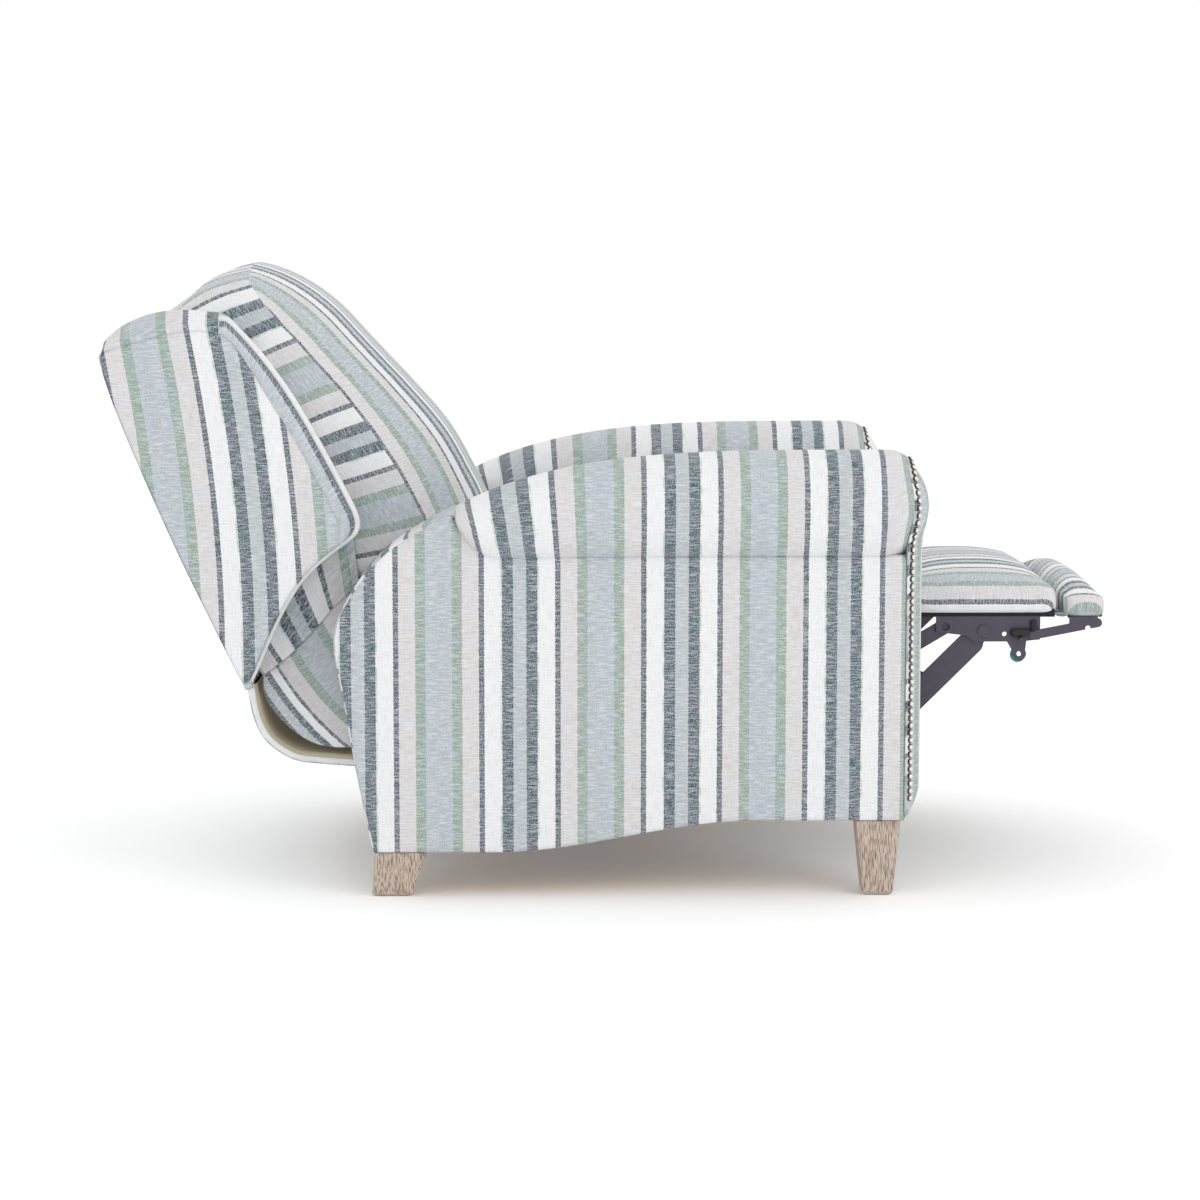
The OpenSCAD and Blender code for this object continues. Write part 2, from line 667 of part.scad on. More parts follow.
module drive_link(side) {
  color("slategray") on_side(side) {
    side_plate(drive_plane, plate_t) difference() {
      bar(drive_pivot, knee_pivot, link_w);
      disc_at(drive_pivot, pin_r + pin_gap);
      disc_at(guide_pivot, pin_r + pin_gap);
    }
    rivet(knee_pivot, drive_plane, long_plane - run_gap);
  }
}
module torque_tube() {
  color("slategray") cross_pin(tube_centre, -drive_plane, 2 * drive_plane, tube_r);
}
module long_link(side) {
  color("slategray") on_side(side) {
    side_plate(long_plane, plate_t) difference() {
      union() {
        bar(knee_pivot, foot_pivot - [18, 18], long_link_w);
        bar(foot_pivot - [30, 30], foot_pivot, link_w);
      }
      disc_at(knee_pivot, pin_r + pin_gap);
    }
    rivet(foot_pivot, long_plane + plate_t, drive_plane + plate_t + run_gap);
  }
}
module control_links() {
  color("slategray") both_sides() {
    side_plate(control_plane, plate_t) bar(control_pivot, control_end, link_w);
    rivet(control_pivot, control_plane + plate_t, seat_out_x + run_gap);
  }
}
module guide_links() {
  color("slategray") both_sides() {
    side_plate(long_plane, plate_t) bar(guide_pivot, guide_end, link_w - 4);
    rivet(guide_pivot, long_plane + plate_t, drive_plane + plate_t + run_gap);
  }
}

// Footrest

bumper_p = foot_pivot + [53, -12];
bumper_r = 7;
bumper_pin_r = 3;
flipper_pin_r = pin_r - 2;
flipper_plane = drive_plane + plane_pitch;
module ottoman_brackets() {
  low_z = foot_pivot[1] - 15;
  color("slategray") both_sides() {
    side_plate(drive_plane, plate_t) difference() {
      union() {
        outline([
          guide_end + [-14, board_z - guide_end[1]], [flipper_pivot[0] + 10, board_z],
          [flipper_pivot[0] + 10, low_z + 2], [flipper_pivot[0] - 10, low_z], foot_pivot + [60, -34],
          foot_pivot + [44, -34], foot_pivot + [34, -16], foot_pivot + [-14, -16],
          foot_pivot + [-26, -7], guide_end + [-14, -8]
        ]);
        disc_at(foot_pivot + [52, -34], 10);
      }
      disc_at(foot_pivot, pin_r + pin_gap);
      disc_at(guide_end, pin_r);
      disc_at(flipper_pivot, flipper_pin_r + pin_gap);
      disc_at(foot_pivot + [30, -5], 3.5);
      disc_at(foot_pivot + [52, -34], 4);
    }
    translate([drive_plane - flange_w + 1, mid_f - flipper_pivot[0] - 10, board_z - plate_t])
      cube([flange_w, flipper_pivot[0] + 38 - foot_pivot[0], plate_t]);
    cross_pin(bumper_p, drive_plane + 1, 15, bumper_pin_r);
  }
}
module footrest_bumpers() {
  color("black") both_sides() difference() {
    cross_pin(bumper_p, drive_plane + plate_t + soft_gap, 9, bumper_r);
    cross_pin(bumper_p, drive_plane, 20, bumper_pin_r + 0.2);
  }
}
module ottoman_board() {
  board_half_w = drive_plane + 2;
  color("burlywood") translate([-board_half_w, mid_f - (pad_tip_f - 12), board_z])
    cube([2 * board_half_w, pad_len - 20, board_t]);
}
module ottoman_pad() {
  color("lightblue") translate([0, mid_f - (pad_tip_f + pad_rear_f) / 2, pad_base_z])
    skin(cushion_rings(pad_half_w, pad_len / 2, pad_side_h, pad_crown, 3));
}
module flipper_arms() {
  arm_tip = [flipper_tip_f - 14, board_z - 9];
  flange_f = flipper_rear_f + 6;
  color("slategray") both_sides() {
    side_plate(flipper_plane, plate_t) difference() {
      union() {
        bar(flipper_pivot, arm_tip, 13);
        outline([[flange_f, board_z], [arm_tip[0], board_z], arm_tip, [flange_f, board_z - 12]]);
      }
      disc_at([arm_tip[0] - 14, board_z - 17], 4);
    }
    translate([drive_plane - 12, mid_f - arm_tip[0], board_z - 3]) cube([18, arm_tip[0] - flange_f, 3]);
    rivet(flipper_pivot, flipper_plane, drive_plane - run_gap, flipper_pin_r, pin_r);
  }
}
module flipper_board() {
  board_half_w = drive_plane + 2;
  color("burlywood") translate([-board_half_w, mid_f - (flipper_tip_f - 8), board_z])
    cube([2 * board_half_w, flipper_len - 14, flipper_board_t]);
}
module flipper_pad() {
  color("lightblue") translate([0, mid_f - (flipper_tip_f + flipper_rear_f) / 2, flipper_base_z])
    skin(cushion_rings(pad_half_w, flipper_len / 2, flipper_h * 0.6, flipper_h * 0.4, 1.5));
}

arm_frame(1);  // arm_frame_left
arm_frame(-1);  // arm_frame_right
arm_outer_panel(1);  // arm_outer_panel_left
arm_outer_panel(-1);  // arm_outer_panel_right
arm_inner_panel(1);  // arm_inner_panel_left
arm_inner_panel(-1);  // arm_inner_panel_right
arm_band(1);  // arm_band_left
arm_band(-1);  // arm_band_right
arm_roll(1);  // arm_roll_left
arm_roll(-1);  // arm_roll_right
arm_front(1);  // arm_front_left
arm_front(-1);  // arm_front_right
nail_trim(1);  // nail_trim_left
nail_trim(-1);  // nail_trim_right
leg(1, FRONT_LEG[0], FRONT_LEG[1], front_leg_h, LEG_BOLTS[0]);  // front_leg_left
leg(-1, FRONT_LEG[0], FRONT_LEG[1], front_leg_h, LEG_BOLTS[0]);  // front_leg_right
leg(1, REAR_LEG[0], REAR_LEG[1], rear_leg_h, LEG_BOLTS[1]);  // rear_leg_left
leg(-1, REAR_LEG[0], REAR_LEG[1], rear_leg_h, LEG_BOLTS[1]);  // rear_leg_right
leg_bolts();
cross_rail(front_rail_f, 114);  // front_cross_rail
cross_rail(rear_rail_f, 94);  // rear_cross_rail
base_side_plate(1);  // base_side_plate_left
base_side_plate(-1);  // base_side_plate_right
seat_side_plate(1);  // seat_side_plate_left
seat_side_plate(-1);  // seat_side_plate_right
seat_pins();
seat_bolts();
seat_side_rail(1);  // seat_side_rail_left
seat_side_rail(-1);  // seat_side_rail_right
seat_cross_rail(seat_rail_fs[1] - seat_cross_t);  // seat_front_rail
seat_cross_rail(seat_rail_fs[0]);  // seat_rear_rail
seat_springs();
seat_deck();
seat_cushion();
back_post(1);  // back_post_left
back_post(-1);  // back_post_right
back_rail(post_top_u, top_rail_w, wing_in_x);  // back_top_rail
back_rail(20, 45, post_out_x - post_w);  // back_bottom_rail
back_webbing();
back_brackets();
back_side_panels();
outside_back();
wing(1);  // wing_left
wing(-1);  // wing_right
back_top_panel();
inside_back_cushion();
drive_link(1);  // drive_link_left
drive_link(-1);  // drive_link_right
torque_tube();
long_link(1);  // long_link_left
long_link(-1);  // long_link_right
control_links();
guide_links();
ottoman_brackets();
footrest_bumpers();
ottoman_board();
ottoman_pad();
flipper_arms();
flipper_board();
flipper_pad();
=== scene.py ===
# %% [markdown]
# # A push-back recliner in striped linen
# The chair's boards, plates, pins and plain cushions are packed already, at their real size.
# They are loaded here as a fixed frame. This lesson dresses them as an upholsterer does:
# each cover is cut on the striped cloth, sewn, filled and trimmed with cord, and each finish
# is mixed from procedural nodes, so nothing is painted from a picture.

# %% Load the frame
import json
import math

import bmesh
import bpy
import numpy as np
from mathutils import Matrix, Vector
from mathutils.geometry import delaunay_2d_cdt


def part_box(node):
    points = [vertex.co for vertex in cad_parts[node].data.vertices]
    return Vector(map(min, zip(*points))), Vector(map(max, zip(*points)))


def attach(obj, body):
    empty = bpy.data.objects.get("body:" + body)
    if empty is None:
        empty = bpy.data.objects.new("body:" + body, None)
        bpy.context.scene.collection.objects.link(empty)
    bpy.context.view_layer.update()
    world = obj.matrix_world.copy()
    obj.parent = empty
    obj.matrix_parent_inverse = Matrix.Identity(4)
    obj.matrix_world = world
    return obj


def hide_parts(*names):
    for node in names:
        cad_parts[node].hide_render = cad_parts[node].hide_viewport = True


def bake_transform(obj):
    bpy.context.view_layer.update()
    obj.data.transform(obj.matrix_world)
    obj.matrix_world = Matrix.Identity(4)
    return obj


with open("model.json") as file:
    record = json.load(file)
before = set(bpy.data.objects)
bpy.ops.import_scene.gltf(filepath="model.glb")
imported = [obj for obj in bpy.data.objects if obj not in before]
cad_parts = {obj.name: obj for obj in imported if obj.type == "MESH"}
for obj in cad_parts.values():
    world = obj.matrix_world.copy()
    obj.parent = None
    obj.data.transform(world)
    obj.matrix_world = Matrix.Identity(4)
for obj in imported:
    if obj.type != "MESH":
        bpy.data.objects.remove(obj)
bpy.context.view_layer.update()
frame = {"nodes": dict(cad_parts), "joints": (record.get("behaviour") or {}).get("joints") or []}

# %% [markdown]
# ## One way of measuring
# An upholsterer measures a chair in millimetres, forward from a line under it and up from the
# floor. The frame counts in metres with -Y forward. Two small functions go from one to the
# other, so that every outline below can be written as [forward, height], as on a cutting plan.

# %% Shop coordinates: x across, f forward, z up, in millimetres
MM = 0.001
joints = {j["name"]: j for j in frame["joints"]}
DRIVE_F = 230
MID_F = DRIVE_F + joints["footrest_open"]["pos_m"][1] / MM


def to_frame(points):
    """Shop points to the frame's metres"""
    p = np.asarray(points, float)
    return np.stack([p[..., 0], MID_F - p[..., 1], p[..., 2]], -1) * MM


def to_shop(points):
    """Frame points in metres to shop points"""
    p = np.asarray(points, float) / MM
    return np.stack([p[..., 0], MID_F - p[..., 1], p[..., 2]], -1)


def span(node):
    """Rows x, f and z of a node, each with its lowest and highest value"""
    return np.sort([to_shop(corner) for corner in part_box(node)], axis=0).T


print("the drive pivot stands", round(DRIVE_F - MID_F, 1), "mm ahead of the origin")

# %% [markdown]
# ## The back leans, so its cutting plan leans too
# The wings, the back and its cushion are easiest to draw on a plan that leans with the back:
# u runs up along its outer face and v runs forward from that face.

# %% A plan that leans with the back
LEAN = math.radians(24)
BACK_FOOT = np.array([-506.0, 290.0])
BACK_UP = np.array([-math.sin(LEAN), math.cos(LEAN)])
BACK_FWD = np.array([math.cos(LEAN), math.sin(LEAN)])


def bk(u, v):
    """[forward, height] of a point u up the back and v forward of its outer face"""
    u, v = np.asarray(u, float), np.asarray(v, float)
    return BACK_FOOT + u[..., None] * BACK_UP + v[..., None] * BACK_FWD


def on_back(points):
    """Lean a list of [u, v] points"""
    p = np.asarray(points, float)
    return bk(p[:, 0], p[:, 1])


# %% [markdown]
# ## Drawing lines
# A pattern cutter draws a few points and joins them with a flowing curve. flow() does that: it
# cuts the corners a few times and then spaces the points evenly. sideways() gives the direction
# of a seam allowance: a line moved that way is the same line, drawn further in or out.

# %% Lines
def smooth(t):
    """Eases from 0 to 1"""
    t = np.clip(t, 0, 1)
    return t * t * (3 - 2 * t)


def run(points):
    """Distance along a line at each of its points"""
    steps = np.linalg.norm(np.diff(points, axis=0), axis=1)
    return np.concatenate([[0], np.cumsum(steps)])


def spaced(points, step=None, count=None):
    """The same line with evenly spaced points"""
    points = np.asarray(points, float)
    s = run(points)
    count = count or max(int(round(s[-1] / step)), 2)
    even = np.linspace(0, s[-1], count + 1)
    return np.stack([np.interp(even, s, column) for column in points.T], 1)


def flow(points, step=8, cuts=3):
    """An open line with its corners cut and its points spaced evenly"""
    p = np.asarray(points, float)
    for _ in range(cuts):
        cut = np.stack([0.75 * p[:-1] + 0.25 * p[1:], 0.25 * p[:-1] + 0.75 * p[1:]], 1)
        p = np.vstack([p[:1], cut.reshape(-1, p.shape[1]), p[-1:]])
    return spaced(p, step)


def leaning(points):
    """A flowing line through points [u, v] on the leaning plan"""
    return flow(on_back(points), 6)


def joined(*lines):
    """One closed edge from lines that meet end to end"""
    return np.vstack([line[:-1] for line in lines])


def sideways(edge, closed=True):
    """Unit vectors to the left of a line"""
    if closed:
        along = np.roll(edge, -1, 0) - np.roll(edge, 1, 0)
    else:
        along = np.gradient(edge, axis=0)
    along /= np.maximum(np.linalg.norm(along, axis=1, keepdims=True), 1e-9)
    return np.stack([-along[:, 1], along[:, 0]], 1)


def anticlockwise(edge):
    """The closed edge, turned so that its left side is its inside"""
    x, y = edge.T
    area = np.sum(x * np.roll(y, -1) - y * np.roll(x, -1))
    return edge if area > 0 else edge[::-1]


def at_x(x, line):
    """A line of [forward, height] points, stood up at a place across the chair"""
    return np.column_stack([np.full(len(line), x), line])


def lofted(xs, line):
    """The same line stood up at each place across"""
    return np.stack([at_x(x, line) for x in xs])


def paired(across, along):
    """A cloth map from places across the stripes, by row, and along them, by column"""
    return np.stack(np.broadcast_arrays(across[:, None], along[None, :]), -1)


print("lines are drawn in millimetres, as rows of [forward, height]")

# %% [markdown]
# ## The camera stands where the photographer stood
# The angle, distance and lens were fitted to corners of the chair whose size is known: the feet
# of the legs, the arm tops and the pads. A long lens from 4.7 m keeps the side view nearly flat.

# %% Camera
CAMERA_PLACE = (-4.6839, 0.0546, 0.9421)
PITCH, YAW = math.radians(-6.841), math.radians(-0.597)
# Both in millimetres
SENSOR, LENS = 36, 92.16
camera = bpy.data.objects.new("photo_camera", bpy.data.cameras.new("photo_camera"))
bpy.context.scene.collection.objects.link(camera)
camera.location = CAMERA_PLACE
looking = Vector((math.cos(PITCH) * math.cos(YAW), math.cos(PITCH) * math.sin(YAW), math.sin(PITCH)))
camera.rotation_euler = looking.to_track_quat("-Z", "Y").to_euler()
camera.data.sensor_fit = "HORIZONTAL"
camera.data.sensor_width = SENSOR
camera.data.lens = LENS
bpy.context.scene.camera = camera
print("camera", round(camera.location.length, 2), "m from the chair's foot")

# %% [markdown]
# ## Light
# The chair was photographed in a white studio: a bright room, one broad soft light from the
# front and above, and weaker ones from the side and from behind. A white world and large area
# lights do the same.

# %% Light
def linear(r, g, b):
    """An 8-bit screen colour as the linear colour that shaders use"""
    return tuple(((c / 255 + 0.055) / 1.055) ** 2.4 if c > 10 else c / 3294.6 for c in (r, g, b))


world = bpy.data.worlds.new("studio")
bpy.context.scene.world = world
world.use_nodes = True
sky = world.node_tree.nodes["Background"].inputs
sky["Color"].default_value = (1, 1, 1, 1)
sky["Strength"].default_value = 1.0
bpy.context.scene.view_settings.view_transform = "Standard"


def soft_light(name, place, aim, size, power):
    """A square area light that faces a point of the chair; power is in watts"""
    light = bpy.data.objects.new(name, bpy.data.lights.new(name, "AREA"))
    bpy.context.scene.collection.objects.link(light)
    light.data.shape = "SQUARE"
    light.data.size = size
    light.data.energy = power
    light.location = place
    light.rotation_euler = (Vector(aim) - Vector(place)).to_track_quat("-Z", "Y").to_euler()


soft_light("key", (-2.4, -2.4, 3.0), (0, 0, 0.4), 2.0, 20)
soft_light("side", (-3.2, 1.4, 1.9), (0, 0, 0.4), 2.4, 4)
soft_light("back", (2.6, 2.2, 3.0), (0, 0, 0.5), 2.4, 10)

# %% [markdown]
# ## Mixing finishes
# Every finish starts from one Principled shader. recipe() makes it and hands back a short
# function that adds a node and wires it, so each finish below reads as a list of layers.

# %% A bench for mixing finishes
def recipe(name, colour, roughness, **sockets):
    """A material, its shader, and a function that adds a wired node to it"""
    material = bpy.data.materials.new(name)
    material.use_nodes = True
    material.diffuse_color = (*colour, 1)
    tree = material.node_tree
    shader = tree.nodes["Principled BSDF"]
    shader.inputs["Base Color"].default_value = (*colour, 1)
    shader.inputs["Roughness"].default_value = roughness
    for socket, value in sockets.items():
        shader.inputs[socket.replace("_", " ")].default_value = value

    def add(kind, inputs=None, **settings):
        node = tree.nodes.new("ShaderNode" + kind)
        for key, value in settings.items():
            setattr(node, key, value)
        for key, value in (inputs or {}).items():
            if isinstance(value, bpy.types.NodeSocket):
                tree.links.new(value, node.inputs[key])
            else:
                node.inputs[key].default_value = value
        return node

    def into(socket, value):
        tree.links.new(value, shader.inputs[socket])

    return material, add, into


def sums(add, operation, *values):
    """One step of arithmetic on sockets or numbers"""
    return add("Math", dict(enumerate(values)), operation=operation).outputs[0]


def blended(add, factor, a, b, blend_type="MIX"):
    """Two colours mixed"""
    colours = {k: (*v, 1) if isinstance(v, tuple) else v for k, v in ((6, a), (7, b))}
    return add("Mix", {0: factor, **colours}, data_type="RGBA", blend_type=blend_type).outputs[2]


def noise(add, vector, scale, detail=2.0, stretch=(1, 1, 1)):
    """Noise on coordinates that are stretched by a factor for each axis"""
    spread = add("Mapping", {"Vector": vector, "Scale": stretch}).outputs[0]
    return add("TexNoise", {"Vector": spread, "Scale": scale, "Detail": detail}).outputs["Fac"]


def steps(add, value, stops, interpolation="CONSTANT"):
    """A colour ramp; each stop is a place and a linear colour"""
    ramp = add("ValToRGB", {"Fac": value})
    ramp.color_ramp.interpolation = interpolation
    elements = ramp.color_ramp.elements
    while len(elements) < len(stops):
        elements.new(0.5)
    for element, (place, colour) in zip(elements, stops):
        element.position = place
        element.color = (*colour, 1)
    return ramp.outputs[0]


def fade(add, value, low, high, start=0.0, end=1.0):
    """A grey ramp from start, where the value is low, to end, where it is high"""
    return steps(add, value, [(low, (start,) * 3), (high, (end,) * 3)], "LINEAR")


def bump(add, into, height, distance, strength=0.5):
    """Small relief; distance is its depth in metres"""
    relief = add("Bump", {"Height": height, "Distance": distance, "Strength": strength})
    into("Normal", relief.outputs[0])


print("the bench is ready")

# %% [markdown]
# ## The floor
# A wide white floor catches a faint shadow under the chair. It lies a little below the legs'
# feet, and it glows faintly, so that it fades into the white behind it.

# %% Floor
FLOOR_Z = -0.0006
floor_paint, _, _ = recipe("studio_floor", (1, 1, 1), 0.9, Emission_Color=(1, 1, 1, 1),
                           Emission_Strength=0.06, Specular_IOR_Level=0.1)
bpy.ops.mesh.primitive_plane_add(size=60, location=(0, 0, FLOOR_Z))
floor = bpy.context.object
floor.name = "studio_floor"
floor.data.materials.append(floor_paint)
print("floor", floor.name)

# %% [markdown]
# ## The striped linen
# The cloth repeats every 228.6 mm, and each repeat mirrors about the middle of its navy, pale
# blue, navy group: pale blue, navy, a pale green edge, white, a thin navy line, rose beige,
# sage and pale blue again. So only half a repeat needs colours. Each cover carries a map named
# Cloth, whose first number is the place across the stripes, in metres, and whose second runs
# along them. The dyed yarns drift between blue and plum along their length, and the slubs of
# the weft cross them as pale flecks. Both are drawn with stretched noise.

# %% Striped linen
REPEAT = 228.6
WHITE = linear(234, 234, 236)
ROSE = linear(212, 206, 205)
SAGE = linear(140, 158, 142)
PALE_BLUE = linear(175, 183, 188)
LINE_NAVY = linear(70, 80, 93)
NAVY = linear(44, 74, 84)
PLUM = linear(74, 82, 97)
PALE_GREEN = linear(190, 204, 190)
# Shares of half a repeat where each stripe starts, with the two dyes that its yarn drifts between
STRIPES = [
    (0.0, PALE_BLUE, linear(180, 186, 192)), (0.080, NAVY, PLUM), (0.216, PALE_GREEN, WHITE),
    (0.240, WHITE, WHITE), (0.437, LINE_NAVY, PLUM), (0.501, ROSE, linear(211, 208, 210)),
    (0.710, SAGE, linear(142, 161, 152)), (0.834, PALE_BLUE, linear(174, 181, 190)),
]
WEFT_COLOUR = linear(228, 231, 234)
FLECK_COLOUR = linear(218, 223, 226)
# How far, in metres, a stripe's edge wanders from thread to thread
RAGGED = 0.0018
# Sets the middle of a repeat on 0 of the map, and keeps the count of repeats above 0
COUNT_FROM = round(100.5 - 0.5 * RAGGED / (REPEAT * MM), 4)


def linen(name, stripes):
    """Slubby plain-weave linen; stripes are (start, dye, other dye) over half a repeat"""
    material, add, into = recipe(name, stripes[0][1], 0.88, Sheen_Weight=0.08, Sheen_Roughness=0.5,
                                 Specular_IOR_Level=0.2)
    cloth = add("UVMap", uv_map="Cloth").outputs[0]
    place = add("SeparateXYZ", {0: cloth}).outputs
    ragged = noise(add, cloth, 800, 0.0, (1, 0.6, 1))
    across = sums(add, "MULTIPLY_ADD", ragged, RAGGED, place[0])
    turns = sums(add, "ADD", sums(add, "DIVIDE", across, REPEAT * MM), COUNT_FROM)
    half = sums(add, "ABSOLUTE", sums(add, "SUBTRACT", sums(add, "FRACT", turns), 0.5))
    share = sums(add, "MULTIPLY", half, 2.0)
    drift = fade(add, noise(add, cloth, 34, 3.0, (0.8, 1, 1)), 0.42, 0.58)
    first = steps(add, share, [(s, a) for s, a, _ in stripes])
    second = steps(add, share, [(s, b) for s, _, b in stripes])
    dyed = blended(add, drift, first, second)
    # Pale weft threads lie straight across the dyed warp, thicker here and there
    weft = noise(add, cloth, 520, 2.0, (0.12, 1, 1))
    warp = noise(add, cloth, 800, 1.0, (1, 0.06, 1))
    speck = noise(add, cloth, 640, 1.0, (1, 0.85, 1))
    pale = blended(add, fade(add, weft, 0.46, 0.66, 0, 0.41), dyed, WEFT_COLOUR)
    pale = blended(add, fade(add, speck, 0.44, 0.66, 0, 0.45), pale, FLECK_COLOUR)
    woven = sums(add, "ADD", sums(add, "MULTIPLY", warp, 0.5), sums(add, "MULTIPLY", weft, 0.5))
    into("Base Color", blended(add, 1.0, pale, fade(add, woven, 0.36, 0.56, 0.87), "MULTIPLY"))
    bump(add, into, woven, 0.0005, 0.5)
    return material


striped_linen = linen("striped_linen", STRIPES)
white_linen = linen("white_linen", [(0.0, linear(234, 232, 231), linear(228, 225, 223)),
                                    (0.5, linear(230, 228, 226), linear(234, 233, 232))])
print(len(STRIPES), "stripes in half a repeat of", REPEAT, "mm")

# %% [markdown]
# ## Lining, base cloth and wood
# Below the covers a chair shows cheaper stuffs. The footrest boards are closed with black
# spun base cloth, the lip of the back is lined with raw calico, and the legs are ash with a
# washed brown stain, so pale lime stays in the pores of the grain.

# %% Plain stuffs and woods
def plain_cloth(name, colour, other, weave):
    """Unstriped cloth; weave is its thread count per metre"""
    material, add, into = recipe(name, colour, 0.9, Specular_IOR_Level=0.2)
    at = add("TexCoord").outputs["Object"]
    threads = noise(add, at, weave, 2.0)
    into("Base Color", blended(add, threads, colour, other))
    bump(add, into, threads, 0.0005, 0.5)
    return material


def wood(name, light, dark, pores, grain_axis, roughness=0.55):
    """Straight-grained wood; the grain runs along one axis"""
    material, add, into = recipe(name, light, roughness, Specular_IOR_Level=0.35)
    at = add("TexCoord").outputs["Object"]
    along = [1.0, 1.0, 1.0]
    along[grain_axis] = 0.06
    broad = noise(add, at, 60, 3.0, along)
    fine = noise(add, at, 700, 2.0, along)
    body = blended(add, fade(add, broad, 0.35, 0.65), light, dark)
    into("Base Color", blended(add, fade(add, fine, 0.46, 0.60, 1, 0), body, pores))
    bump(add, into, fine, 0.0004, 0.35)
    return material


base_cloth = plain_cloth("base_cloth", linear(34, 34, 36), linear(50, 50, 52), 900)
calico = plain_cloth("calico", linear(196, 184, 156), linear(212, 202, 178), 1200)
jute = plain_cloth("jute", linear(168, 138, 96), linear(128, 100, 66), 500)
leg_wood = wood("leg_wood", linear(158, 136, 122), linear(128, 106, 94), linear(196, 182, 168), 2)
frame_wood = wood("frame_wood", linear(206, 176, 132), linear(186, 150, 106), linear(160, 124, 84),
                  1, 0.75)
print("mixed cloths and woods")

# %% [markdown]
# ## Metals and rubber
# The linkage is stamped steel with a dark baked paint that is slightly uneven, as sprayed
# paint is. Pins and springs are zinc plated. The nail heads are pewter with painted light: their
# colour is painted dark at the rim as a painted reflection and bright towards the top of each
# dome as a painted highlight, and a little noise mottles it.

# %% Metals and rubber
def coated(name, colour, other, roughness, metallic):
    """Painted or plated metal, or moulded rubber, with a mottled surface"""
    material, add, into = recipe(name, colour, roughness, Metallic=metallic)
    at = add("TexCoord").outputs["Object"]
    patches = noise(add, at, 60, 4.0)
    peel = noise(add, at, 900, 1.0)
    into("Base Color", blended(add, patches, colour, other))
    into("Roughness", sums(add, "MULTIPLY_ADD", patches, 0.25, roughness - 0.12))
    bump(add, into, peel, 0.0002, 0.25)
    return material


steel_paint = coated("steel_paint", linear(66, 62, 74), linear(82, 78, 92), 0.5, 0.25)
zinc = coated("zinc", linear(170, 172, 176), linear(140, 142, 148), 0.35, 1.0)


def painted_highlight_metal(name, dark, bright):
    """Metal with painted light; its map gives the height on the head, painted dark at the rim as reflection
    and bright at the top as highlight
    """
    material, add, into = recipe(name, dark, 0.26, Metallic=1.0)
    height = add("SeparateXYZ", {0: add("UVMap", uv_map="Cloth").outputs[0]}).outputs[0]
    spots = noise(add, add("TexCoord").outputs["Object"], 500, 2.0)
    # Painted reflection and highlight: dark at the rim and bright towards the top, with noise spots mixed
    # in
    highlight_height = sums(add, "MULTIPLY_ADD", spots, 0.4, height)
    stops = [(0.45, dark), (0.85, linear(150, 140, 128)), (1.0, bright)]
    into("Base Color", steps(add, highlight_height, stops, "LINEAR"))
    return material


pewter = painted_highlight_metal("pewter", linear(58, 52, 48), linear(236, 232, 224))
rubber = coated("rubber", linear(26, 26, 28), linear(38, 38, 40), 0.7, 0.0)
teal_plastic = coated("teal_plastic", linear(40, 130, 130), linear(60, 150, 148), 0.45, 0.0)
print(len(bpy.data.materials), "materials so far")

# %% [markdown]
# ## Finishes for the parts that keep their shape
# Boards, plates, links, pins and springs already have their true shape, so they only get a
# finish.

# %% Finish the carried-over parts
KEEP = {
    frame_wood: ["arm_frame", "front_cross_rail", "rear_cross_rail", "seat_side_rail", "seat_front_rail",
                 "seat_rear_rail", "back_post", "back_top_rail", "back_bottom_rail", "ottoman_board",
                 "flipper_board"],
    steel_paint: ["base_side_plate", "seat_side_plate", "back_brackets", "drive_link", "torque_tube",
                  "long_link", "control_links", "guide_links", "ottoman_brackets", "flipper_arms"],
    zinc: ["seat_pins", "seat_bolts", "leg_bolts", "seat_springs"],
    rubber: ["footrest_bumpers"],
    jute: ["back_webbing"],
}
finished = 0
for material, families in KEEP.items():
    for node, part in frame["nodes"].items():
        if any(node in (family, family + "_left", family + "_right") for family in families):
            part.data.materials.clear()
            part.data.materials.append(material)
            finished += 1
print(finished, "parts keep their shape")

# %% [markdown]
# ## Cutting and sewing
# A cover is sewn from parts. Each part has points in shop coordinates, faces, and for each
# point its place on the cloth: across the stripes and along them. sew() joins points that lie
# on one another, as a seam does, but keeps each part's own cloth map on its own side of the
# seam, so stripes can break there as they do on the chair.

# %% Sew parts into one piece
# Points nearer than this, in millimetres, are sewn together
SEAM = 0.05


def sew(name, body, parts, material, mirror=False):
    """One piece from parts of (points, faces, cloth map)"""
    points = np.concatenate([p for p, _, _ in parts])
    cloth = np.concatenate([c for _, _, c in parts])
    if mirror:
        points = points * [-1, 1, 1]
    _, first, index = np.unique(np.round(points / SEAM), axis=0, return_index=True, return_inverse=True)
    index = index.ravel()
    faces, corners, start, seen = [], [], 0, set()
    for p, part_faces, _ in parts:
        for face in part_faces:
            ring = [start + i for i in face]
            ring = [i for k, i in enumerate(ring) if index[i] != index[ring[k - 1]]]
            known = frozenset(index[i] for i in ring)
            if 2 < len(known) == len(ring) and known not in seen:
                seen.add(known)
                faces.append([int(index[i]) for i in ring])
                corners += ring
        start += len(p)
    mesh = bpy.data.meshes.new(name)
    mesh.from_pydata(to_frame(points[first]).tolist(), [], faces)
    layer = mesh.uv_layers.new(name="Cloth")
    layer.data.foreach_set("uv", (cloth[corners] * MM).ravel())
    tidy = bmesh.new()
    tidy.from_mesh(mesh)
    bmesh.ops.recalc_face_normals(tidy, faces=tidy.faces)
    tidy.to_mesh(mesh)
    tidy.free()
    mesh.polygons.foreach_set("use_smooth", [True] * len(mesh.polygons))
    mesh.materials.append(material)
    piece = bpy.data.objects.new(name, mesh)
    bpy.context.scene.collection.objects.link(piece)
    piece["body"] = body
    return piece


